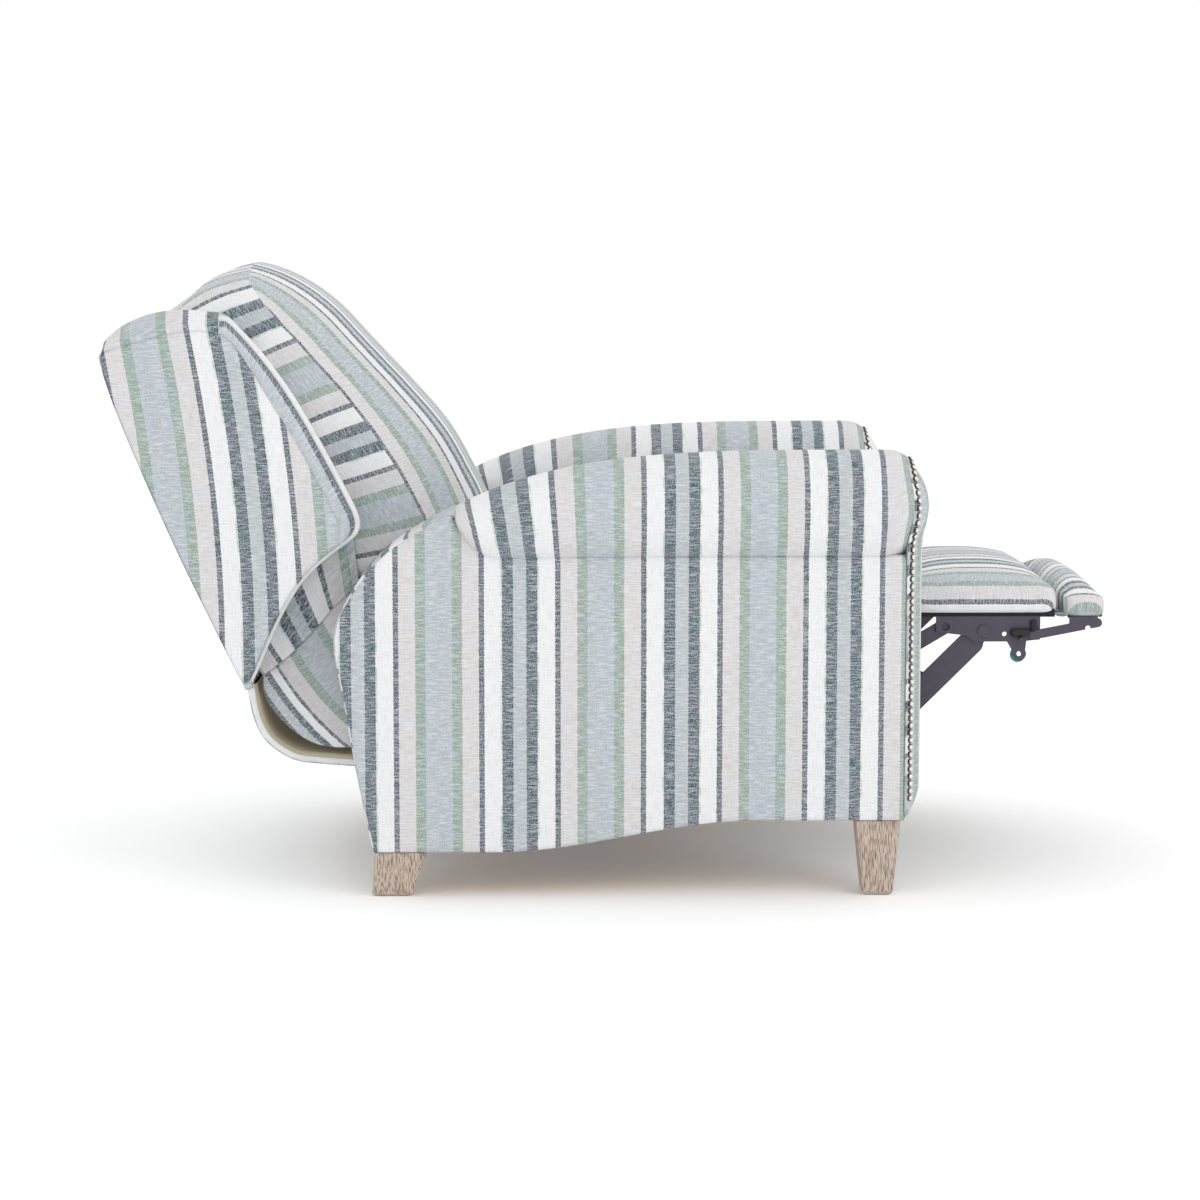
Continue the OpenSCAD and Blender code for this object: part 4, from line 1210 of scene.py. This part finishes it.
def back_cushion():
    """The face, the boxing and the rear, cut on the cloth"""
    face, seam, rear, x, u = back_grids()
    across = face_across(x, SEAM_HALF, FACE_ARC, 58)
    face_cloth = np.stack([across - REPEAT_HALF, u], -1)

    def along_strip(s, a):
        """Stripes mirror about the middle of the top and are set by the group on the side"""
        top = np.argmin(np.abs(a[:, 0]) + 1e3 * (a[:, 2] < a[:, 2].max() - 40))
        from_top = np.minimum(np.abs(s - s[top]), s[-1] - np.abs(s - s[top]))
        side_u = (a[:, 1:] - BACK_FOOT) @ BACK_UP
        mark = np.argmin(np.abs(side_u - SIDE_GROUP_U) + 1e3 * (a[:, 0] > 0))
        return from_top - from_top[mark]

    return [grid(face, face_cloth), boxing(seam, rear, 10, along_strip, 13), grid(rear, face_cloth)]


cushion = sew("back_cushion_cover", "back", back_cushion(), striped_linen)
swell(cushion, 9, pressure=3.0, slack=0.01)
refine(cushion)
done(cushion, "inside_back_cushion", fill=0.7)

# %% [markdown]
# ## The wings
# A wing is a padded board beside the head. Its outside cover stops at a seam set back from the
# front edge; a narrow slanting border runs from there to a cord on the very edge, and the
# inside cover goes over the top and round to the cushion. The outline is drawn once and drawn
# in by a different amount at each layer.

# %% Wings
WING_IN, WING_OUT = span("wing_left")[0]
WING_OUT = max(WING_OUT, span("outside_back")[0][1])
WING_CORD_R = 4.3
WING_TOP = leaning([
    (522, 9), (529, 15), (534, 35), (536, 60), (533, 95), (527, 118), (519, 142), (511, 164),
    (506, 180), (504, 192),
])
WING_FRONT = leaning([
    (504, 192), (488, 202), (470, 208.6), (439, 219), (392, 231), (332, 240), (275, 245), (224, 248.5),
    (180, 250.5), (165, 251), (153, 249), (143, 243), (138, 236),
])
WING_LOW = leaning([
    (138, 236), (134, 216), (128, 185.4), (118, 155), (108, 133), (94, 111.8), (77.5, 89.7),
    (62, 71), (42.5, 50), (24, 31), (11, 15), (2, -1),
])
# The outside cover's seam, set back from that edge
SEAM_TOP = leaning([(522, 9), (518, 40), (515, 62), (503, 134), (487, 165), (478.6, 177.4)])
SEAM_FRONT = leaning([
    (478.6, 177.4), (467, 186), (458, 189.5), (436, 194), (394, 199.5), (349, 205), (311, 211),
    (275, 214.5), (235, 217), (190, 220), (165, 221), (148, 217), (141, 205),
])
# Places up the back where the padding of its outer face is given
REAR_US = [0, 60, 130, 200, 300, 390, 450, 500, 522]


def rear_v(u):
    """The back's outer face stands forward of the plan at the top and is padded lower down"""
    padded = np.interp(u, REAR_US, [0, 3, 6, 9.5, 10.5, 10, 8.5, 3.5, 1])
    return 0.0196 * u - 1.1 - padded


WING_REAR = spaced(flow([bk(u, rear_v(u)) for u in [2] + REAR_US[1:]], 6), 12)


def wing_cloth(points):
    """Upright stripes that lean more and more towards the top"""
    f, z = points[..., -2], points[..., -1]
    return np.stack([0.96 * (f + 483.5 + 0.000229 * np.maximum(z - 364, 0) ** 2), z], -1)


def shares_of(line, pieces):
    """A line cut into equal pieces, without its last point"""
    s = run(line)
    at = np.linspace(0, s[-1], pieces + 1)[:-1]
    return np.column_stack([np.interp(at, s, column) for column in line.T])


def smoothed(line):
    """A closed line with its corners eased"""
    return sum(np.roll(line, k, 0) for k in (-2, -1, 0, 1, 2)) / 5


def wing_loops():
    """Five closed lines from the outside seam over the edge to the inside, and two corners' places"""
    lines = WING_TOP, WING_FRONT, WING_LOW, WING_REAR
    counts = [len(line) - 1 for line in lines]
    edge = np.vstack([shares_of(line, n) for line, n in zip(lines, counts)])
    left = sideways(anticlockwise(edge))
    if anticlockwise(edge) is not edge:
        left = left[::-1]
    a, b, c = np.cumsum(counts)[:3]
    low_seam = (edge + 5 * left)[b + 3:c - 2]
    seam_lines = SEAM_TOP, SEAM_FRONT, np.vstack([SEAM_FRONT[-1:], low_seam, WING_REAR[:1]]), WING_REAR
    seam = np.vstack([shares_of(line, n) for line, n in zip(seam_lines, counts)])

    def drawn_in(top, front, low):
        """The edge, drawn in by so much along its top, front and low stretches"""
        inset = np.concatenate([top, np.repeat([float(front), low, 0], counts[1:])])
        inset = np.convolve(np.r_[inset[-4:], inset, inset[:4]], np.ones(9) / 9, "valid")
        inset[c:] = np.maximum(inset[c:], 0)
        return edge + inset[:, None] * left

    over = smooth(((edge[:a] - BACK_FOOT) @ BACK_FWD - 85) / 50)
    crest = -12 * np.sin(math.pi * np.linspace(0, 1, a)) ** 0.5
    ridge = drawn_in(crest, 3, 4)
    cord = drawn_in(0 * crest, 4.5, 3.5)
    cord[:a] = 0.5 * seam[:a] + 0.5 * ridge[:a]
    inner = drawn_in(crest * (1 - 0.6 * over), 8, 6)
    last = drawn_in(crest * (1 - over) * 0.9 + 5 * over, 18, 10)
    return [smoothed(line) for line in (seam, cord, ridge, inner, last)], a, b


def wing_parts():
    """Outside, border, edge and inside of a wing, and the line that its cord follows"""
    (seam, cord, ridge, inner, last), a, b = wing_loops()

    def loop(x, line):
        return ring_closed(at_x(x, line)[None])[0]

    front_edge = loop(WING_OUT - 14, cord)
    border = np.array([
        loop(WING_OUT - 4, seam), loop(WING_OUT - 1.8, 0.88 * seam + 0.12 * cord),
        loop(WING_OUT - 1.6, 0.7 * seam + 0.3 * cord), loop(WING_OUT - 5, 0.35 * seam + 0.65 * cord),
        front_edge,
    ])
    distance = np.linalg.norm(border[..., 1:] - front_edge[..., 1:], axis=-1)
    border_along = np.broadcast_to(run(border[0, :, 1:]), distance.shape)
    border_cloth = np.stack([np.maximum(19.95 - distance, -9), border_along], -1)

    def lateral(rows):
        return np.stack([wing_cloth(rows)[..., 0], rows[..., 0]], -1)

    stretches = [grid(border[:, :a + 1], lateral(border[:, :a + 1])),
                 grid(border[:, a:b + 1], border_cloth[:, a:b + 1]),
                 grid(border[:, b:], lateral(border[:, b:]))]
    rest = np.array([
        front_edge, loop(WING_OUT - 30, 0.5 * cord + 0.5 * ridge), loop(WING_OUT - 46, ridge),
        loop(WING_IN + 14, inner), loop(WING_IN + 4, 0.5 * (inner + last)), loop(WING_IN, last),
    ])

    def outside(p, depth):
        x = WING_OUT - 4 + 2.6 * rounded(depth, 5) + 2 * (1 - np.exp(-depth / 30))
        return np.column_stack([x, p])

    faces = [panel_face(border[0, :-1, 1:], outside, wing_cloth, 12, (2, 5, 12)), *stretches,
             grid(rest, lateral(rest)),
             panel_face(rest[-1, :-1, 1:], plane(WING_IN), wing_cloth, 30, (8,))]
    return faces, front_edge[a:b + len(WING_LOW) - 1]


wing_faces, cord_line = wing_parts()
cord_parts = [cord_part(cord_line + [0.5, 0, 0], WING_CORD_R)]
for side, mirror in SIDES:
    cover = sew("wing_cover_" + side, "back", wing_faces, striped_linen, mirror=mirror)
    done(cover, "wing_" + side, fill=0.8)
    done(sew("wing_cord_" + side, "back", cord_parts, white_linen, mirror=mirror))
print("wing cord", round(float(run(cord_line)[-1])), "mm long")

# %% [markdown]
# ## The top of the back
# Between the wings a padded strip closes the top. It runs a little way into both wings, so that
# no slit shows beside it, and rises slightly in the middle.

# %% Top strip
TOP_PROFILE = leaning([(500, 14), (523, 9), (534, 12), (542, 30), (544, 56), (541, 86), (518, 94)])
xs = np.linspace(-WING_IN - 9, WING_IN + 9, 61)
strip = lofted(xs, TOP_PROFILE)
arch = 3 * np.sin(math.pi * np.linspace(0, 1, len(xs)))[:, None]
strip[..., 2] += arch * smooth((strip[..., 2] - 772) / 20)
strip_cloth = wing_cloth(strip)
strip_cloth[..., 1] = strip[..., 0]
done(sew("back_top_cover", "back", [grid(strip, strip_cloth)], striped_linen), "back_top_panel", fill=0.8)
print("top strip", round(float(xs[-1] - xs[0])), "mm wide")

# %% [markdown]
# ## The outside of the back
# One large panel covers the back from behind and runs on below the seat as a curved lip, lined
# with calico. The panel's stripes run up and down with a navy group in the middle, and wrap
# round the lip's edges.

# %% Outside of the back
SHELL_HALF = span("outside_back")[0][1] - 3
SHELL_TOP = 520
SHELL_T = 17
LIP_HALF = PAD_HALF
LIP_LINE = flow(np.vstack([bk(0, -12.3), BACK_FOOT + [
    (-6, -28), (1, -58), (13.5, -83), (30, -99.5), (60, -117), (90, -120.5), (150, -125)]]), 6)
# Half of the lip's outline across: place, and how far the edge turns forward
LIP_EDGE = [(0, 0), (60, 0), (120, 0), (180, 0), (225, 0), (246, 0.2), (251, 1), (254.5, 3.2),
            (LIP_HALF, 6.5), (LIP_HALF - 0.5, 11)]


def outside_v(x, u):
    """How far forward of the plan the outside of the back stands"""
    d = np.minimum(SHELL_HALF - np.abs(x), SHELL_TOP - u)
    foot = np.clip(1 - u / 100, 0, 1) ** 2 * smooth(d / 60)
    return rear_v(u) + 4 * (1 - rounded(d, 5)) - 3 * (1 - np.exp(-d / 40)) - 6.3 * foot


def shell_parts():
    """The large outer panel; its low edge has the lip's own points, so that the two can be sewn"""
    half_low = [x for x, _ in LIP_EDGE[:-1]] + [275, 305, SHELL_HALF]
    low = np.array([-x for x in half_low[:0:-1]] + half_low)
    corners = [(SHELL_HALF, 0), (SHELL_HALF, SHELL_TOP), (-SHELL_HALF, SHELL_TOP), (-SHELL_HALF, 0)]
    edge = joined(np.column_stack([low, 0 * low]), *[spaced(corners[i:i + 2], 9) for i in range(3)])

    def place(p, depth):
        return np.column_stack([p[:, 0], bk(p[:, 1], outside_v(*p.T))])

    def inside(p, depth):
        v = outside_v(*p.T)
        return np.column_stack([p[:, 0], bk(p[:, 1], np.maximum(np.minimum(v + 13, 10), v + 2))])

    def cloth(p):
        return np.column_stack([np.abs(p[:, 0]), p[:, 1]])

    e = np.vstack([edge, edge[:1]])
    wall = np.stack([place(e, 0), inside(e, 0)])
    return [panel_face(edge, place, cloth, 16), grid(wall, np.stack([cloth(e)] * 2)),
            panel_face(edge, inside, cloth, 60, (20,))]


def lip_parts():
    """The curved lip: cloth outside and round its ends, calico inside"""
    inward = sideways(LIP_LINE, closed=False)
    s = run(LIP_LINE)
    profile = np.array([(-x, t) for x, t in LIP_EDGE[::-1]] + LIP_EDGE[1:])
    arc = run(profile)
    arc = np.abs(arc - arc[-1] / 2)
    outer = []
    for x, t in profile:
        start = bk(0, outside_v(x, 0)) - LIP_LINE[0]
        turn = t * (smooth(s / 25) if t < 7 else 1 + 0 * s)
        outer.append(at_x(x, LIP_LINE + turn[:, None] * inward + (1 - smooth(s / 40))[:, None] * start))
    outer = np.array(outer)
    outer_cloth = paired(arc, s)
    lining = [(LIP_HALF - 0.5, 11), (LIP_HALF - 2, 12), (LIP_HALF - 3, 14.5), (LIP_HALF - 8, SHELL_T),
              (0, SHELL_T)]
    lining = np.array(lining + [(-x, t) for x, t in lining[-2::-1]])
    inner = np.stack([at_x(x, LIP_LINE + t * inward) for x, t in lining])
    end = outer[:, -1]
    turned = np.broadcast_to(LIP_LINE[-1] + SHELL_T * inward[-1], (len(end), 2))
    nose = np.stack([end, end + [0, 3, 4], np.column_stack([end[:, 0], turned])])
    nose_cloth = np.stack([outer_cloth[:, -1] + [0, down] for down in (0, 8, 16)])
    return [grid(outer, outer_cloth), grid(nose, nose_cloth)], [grid(inner, np.zeros(2))]


lip_cloth, lip_lining = lip_parts()
done(sew("outside_back_cover", "back", shell_parts() + lip_cloth, striped_linen), "outside_back")
done(sew("back_lip_lining", "back", lip_lining, calico))
print("lip", round(float(run(LIP_LINE)[-1])), "mm round")

# %% [markdown]
# ## Under the wings
# Where the wing stops above the arm, a strip of the cushion's boxing comes out from under it
# and meets a loose sheet that closes the side of the back. Both move with the back. The strip
# is cut across the stripes; the sheet is cut on a slant, so its stripes sweep down and
# forward.

# %% Strip and side sheets under the wings
STRIP_LINE = leaning([(150, 228), (137, 206), (133, 178), (120, 136), (99, 97), (58, 48), (24, 16)])
STRIP_SEAM = flow([(-349, 431), (-387, 402), (-406, 377), (-436, 345), (-460, 323), (-490, 301)], 6)
# A navy group crosses the strip's seam here
STRIP_GROUP = (-426, 356)


def strip_part():
    """A band from under the wing down to its seam with the sheet"""
    upper, lower = spaced(STRIP_LINE, count=70), spaced(STRIP_SEAM, count=70)
    shares = np.linspace(0, 1, 8)
    xs = [262 - 8 * share + 2.5 * math.sin(math.pi * share) for share in shares]
    rows = np.array([at_x(x, upper + share * (lower - upper)) for x, share in zip(xs, shares)])
    s = run(lower)
    group = s[np.argmin(np.linalg.norm(lower - STRIP_GROUP, axis=1))]
    return grid(rows, np.stack(np.broadcast_arrays(s[None, :] - group, shares[:, None] * 32), -1))


# The sheet's stripes follow a circle about this centre
SHEET_TURN = 437
SHEET_CENTRE = np.array([-96.0, 529.0])
# Distance inside that circle, and the place on the cloth; a pleat hides part of the white stripe
SHEET_FOLD = ([-60, -34, -23, -11, 5, 36, 100], [-53, -17, 0, 17, 53.6, 88.6, 152])


def sheet_depth(points):
    """How far inside the circle a point lies"""
    return SHEET_TURN - np.linalg.norm(points - SHEET_CENTRE, axis=-1)


def sheet_cloth(points):
    """Stripes that sweep round a far centre"""
    to = points - SHEET_CENTRE
    return np.stack([np.interp(sheet_depth(points), *SHEET_FOLD),
                     SHEET_TURN * np.arctan2(-to[..., 1], -to[..., 0])], -1)


def sheet_parts():
    """The loose sheet, with a soft pleat along its stripes, and its wrong side"""
    seam = STRIP_SEAM[::-1]
    corners = BACK_FOOT + np.array([(157, 22), (154, -96)])
    front = spaced([seam[-1], corners[0], corners[1]], 8)
    low = flow([corners[1], (-402, 194), (-436, 208), (-468, 234), (-491, 268), seam[0]], 7)
    edge = joined(seam, front, low)

    def place(p, depth):
        d = sheet_depth(p)
        pleat = 2.5 * np.exp(-((d - 6) / 8) ** 2) - 2 * np.exp(-((d + 12) / 9) ** 2)
        x = 251 + pleat * smooth(depth / 12) - 18 * smooth((-18 - d) / 45)
        return np.column_stack([x + 2 * rounded(depth, 6), p])

    def back(p, depth):
        return np.column_stack([247.5 - 18 * smooth((-18 - sheet_depth(p)) / 45), p])

    return [panel_face(edge, place, sheet_cloth, 9, (2, 5, 9)),
            panel_face(edge, back, sheet_cloth, 12, (3,))]


for side, mirror in SIDES:
    done(sew("under_wing_strip_" + side, "back", [strip_part()], striped_linen, mirror=mirror))
    sheet = sew("back_side_sheet_" + side, "back", sheet_parts(), striped_linen, mirror=mirror)
    # Both plain panels are one node, so the second sheet stands for it
    done(sheet, *(("back_side_panels",) if mirror else ()))
print("strip", round(float(run(STRIP_SEAM)[-1])), "mm long")

# %% [markdown]
# ## The seat
# The seat cushion is a boxed cushion with cord in both seams. It lies on a cloth deck whose
# front edge is padded and covered, since it shows when the footrest is out.

# %% Seat cushion and deck
# The pads' covers come down over the edges of their boards by this much
EDGE_DROP = 7
SEAT_CORD_R = 2.6


def crowded(count):
    """Places from -1 to 1 that lie closer together near both ends"""
    even = np.linspace(-1, 1, count)
    return even * 0.6 + np.sin(even * math.pi / 2) * 0.4


def flat_grids(node, side_h, crown_mm, corner, board=None):
    """Upper and lower faces of a cushion that lies flat in the place of its plain solid"""
    (x0, x1), (f0, f1), (z0, _) = span(node)
    tt, kk = np.meshgrid(crowded(33), crowded(37), indexing="ij")
    half_f, half_x = (f1 - f0) / 2 - 2, (x1 - x0) / 2 - 2
    middle_f = (f0 + f1) / 2
    c_f = corner / half_f
    inset = corner * (1 - np.sqrt(1 - np.clip((np.abs(tt) - 1 + c_f) / c_f, 0, 1) ** 2))
    x = kk * (half_x - inset)
    f = middle_f + tt * half_f
    dome = (1 - np.abs(x / half_x) ** CROWN) * (1 - np.abs(tt) ** CROWN)
    upper = np.stack([x, f, z0 + side_h + crown_mm * dome], -1)
    low_f = middle_f + (f - middle_f) * SEAM_SHARE
    lower = np.stack([x * SEAM_SHARE, low_f, np.full_like(x, z0 + 1.0)], -1)
    if board:
        # The cover's lower rim is nearly square, as the board is, and stands a little outside it
        (_, bx), (b0, b1), (_, bz) = span(board)
        square = kk * (half_x - 0.3 * inset)
        lower = np.stack([square * (bx + 2.5) / half_x, (b0 + b1) / 2 + tt * ((b1 - b0) / 2 + 2.5),
                          np.full_like(x, bz - EDGE_DROP)], -1)
    seam = np.stack([x, f, np.full_like(x, z0 + side_h)], -1)
    across = face_across(x, half_x, half_x * 1.035 + crown_mm * 0.5, crown_mm)
    return upper, lower, seam, across, f


def flat_cushion(name, node, body, side_h, crown_mm, corner, group, cap, fill=0.7, bulge=4, board=None):
    """A cushion with cord in both seams or, on a board, one that turns down over its edges.

    side_h is the height of its side and crown_mm that of its face above it; corner is the radius
    of its corners, group the place across of a navy group, and cap the most that it may swell.
    """
    upper, lower, seam, across, f = flat_grids(node, side_h, crown_mm, corner, board)
    cloth = np.stack([across - group, f], -1)
    edge_across, edge_f = rim(across[..., None])[:, 0], rim(f[..., None])[:, 0]
    if board:
        a, b = rim(upper), rim(lower)
        out = a - [0, a[:, 1].mean(), a[0, 2]]
        out[:, 2] = 0
        far = np.linalg.norm(out, axis=1, keepdims=True)
        shares = np.linspace(0, 1, 7)[:, None]
        bulged = [a + s * (b - a) + bulge * math.sin(math.pi * s) * out / far for s in shares[:, 0]]
        down = shares * (side_h + EDGE_DROP)
        on_x = np.abs(a[:, 0]) > 0.93 * a[:, 0].max()
        w = edge_across[None] - group + down * on_x
        strip = grid(np.array(bulged), np.stack([w, edge_f[None] + down * ~on_x], -1))
    else:
        strip = boxing(seam, lower, bulge, lambda s, a: s - 60, 9)
    piece = sew(name, body, [grid(upper, cloth), strip, grid(lower, cloth)], striped_linen)
    seams = [nearest(piece, rim(edge)[:-1]) for edge in (seam, lower)]
    swell(piece, cap, held=seams[1] if board else ())
    if not board:
        points = shape_of(piece)
        cords = [cord_part(np.vstack([points[ids], points[ids[:1]]]), SEAT_CORD_R) for ids in seams]
        done(sew(name + "_cord", body, cords, white_linen))
    refine(piece)
    done(piece, node, fill=fill)


flat_cushion("seat_cushion_cover", "seat_cushion", "seat", 82, 20, 26, REPEAT_HALF, 7)
DECK_LOW = span("seat_front_rail")[2][0]


def deck_parts():
    """The deck's cloth comes over the front rail and down it"""
    (x0, x1), (f0, f1), (z0, z1) = span("seat_deck")
    profile = flow([(f0, z1), (f1 - 30, z1), (f1 + 1, z1 - 1), (f1 + 4, z1 - 20), (f1 - 4, z0 - 2),
                    (f1 - 26, DECK_LOW - 2), (f1 - 34, DECK_LOW - 4)], 9)
    xs = np.linspace(x0, x1, 41)
    rows = lofted(xs, profile)
    cloth = paired(np.abs(xs) - REPEAT_HALF, run(profile))
    under = rows.copy()
    under[..., 2] = np.minimum(under[..., 2], z1) - 3
    return [grid(rows, cloth), grid(under, cloth)]


done(sew("seat_deck_cover", "seat", deck_parts(), striped_linen), "seat_deck")
print("the deck's cloth goes down to", round(float(DECK_LOW)), "mm above the floor")

# %% [markdown]
# ## The footrest pads
# The main pad and the folding front pad have the same stripes as the seat, running toward the
# toes, and they turn down over the edges of their boards without a seam. The undersides are
# closed with black base cloth.

# %% Footrest pads
flat_cushion("ottoman_cover", "ottoman_pad", "ottoman", 27, 24, 26, REPEAT_HALF, 6,
             fill=0.75, bulge=6, board="ottoman_board")
flat_cushion("flipper_cover", "flipper_pad", "flipper", 20, 23, 24, 196, 5,
             fill=0.75, bulge=8, board="flipper_board")


def underside(node):
    """Black cloth tacked under a board and turned up over its edges"""
    (x0, x1), (f0, f1), (z0, z1) = span(node)
    top = z1 - z0
    corners = np.array([(x1, f0), (x1, f1), (x0, f1), (x0, f0)])
    lean = np.array([(1, -1), (1, 1), (-1, 1), (-1, -1)])
    rows = []
    for out, up in ((1, -0.8), (1.2, 0.4), (1.2, top - 1.2), (0, top - 0.6), (-12, top - 0.6)):
        rows.append(np.column_stack([corners + out * lean, np.full(4, z0 + up)]))
    rows = ring_closed(np.array(rows))
    return grid(np.concatenate([hub(rows[:1]), rows]), np.zeros(2))


for body in ("ottoman", "flipper"):
    under = sew(body + "_board_base_cloth", body, [underside(body + "_board")], base_cloth)
    flatten(under)
    done(under)
    print(under.name, len(under.data.polygons), "faces")

# %% [markdown]
# ## The flap
# A strip of the striped cloth closes the slit between the pads. It hangs slack between the two
# boards and is not carried by either of them.

# %% Flap
FLAP_HALF = 238
flap_line = flow([(657, 391), (662, 387.5), (669, 384), (677, 383.2), (684, 385.6), (689, 389.5)], 2.5)
flap_xs = np.linspace(-FLAP_HALF, FLAP_HALF, 41)
flap_rows = lofted(flap_xs, flap_line)
flap_cloth = paired(np.abs(flap_xs) - 172, run(flap_line))
flap_parts = [grid(flap_rows, flap_cloth), grid(flap_rows + [0, 0, 1.2], flap_cloth)]
flap = sew("footrest_flap", "ottoman", flap_parts, striped_linen)
FLAP_W, FLAP_L = 2 * FLAP_HALF * MM, float(run(flap_line)[-1]) * MM
start, end = (tuple(to_frame((0, f, 386))) for f in (664, 684))
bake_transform(flap)
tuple(end)
pieces.append(flap.name)
print("flap", round(FLAP_W, 3), "m by", round(FLAP_L, 3), "m")

# %% [markdown]
# ## Small fittings of the footrest
# A rubber bar on each bracket keeps the folded front pad from knocking, a thin plastic washer
# lies between the bracket and the long link, and a rubber block takes up play at the pad's arm.

# %% Footrest fittings
BRACKET_X, WASHER_X = 250.5, 242.58


def rod(side, line, radius):
    """A round rod along a line of [forward, height] points, on a bracket's outer face"""
    return grid(tube(at_x(side * BRACKET_X, line), radius, 16), np.zeros(2))


def washer(side, middle, inner, outer, thick):
    """A flat ring with eased edges, centred on its own thickness"""
    angles = np.linspace(0, 2 * math.pi, 29)
    around = np.column_stack([np.cos(angles), np.sin(angles)])
    section = [(inner, 0), (outer - 0.3, 0), (outer, 0.3), (outer, thick - 0.3), (outer - 0.3, thick),
               (inner, thick), (inner, 0)]
    rows = [at_x(side * WASHER_X - thick / 2 + dx, middle + r * around) for r, dx in section]
    return grid(np.array(rows), np.zeros(2))


fittings = {
    "footrest_bumper_bars": (rubber, rod, [(601, 361.5), (612, 361.5), (624, 361.5)], 6.2),
    "footrest_washers": (teal_plastic, washer, np.array([610.2, 328.6]), 5, 11.5, 0.8),
    "footrest_blocks": (rubber, rod, [(631.5, 365), (631.5, 378)], 4.6),
}
for name, (material, shape, *sizes) in fittings.items():
    piece = sew(name, "ottoman", [shape(side, *sizes) for side in (-1, 1)], material)
    done(piece, *(["footrest_bumpers"] if name == "footrest_bumper_bars" else []))
    print(name, "on both brackets")

# %% Finish
print(len(pieces), "pieces")
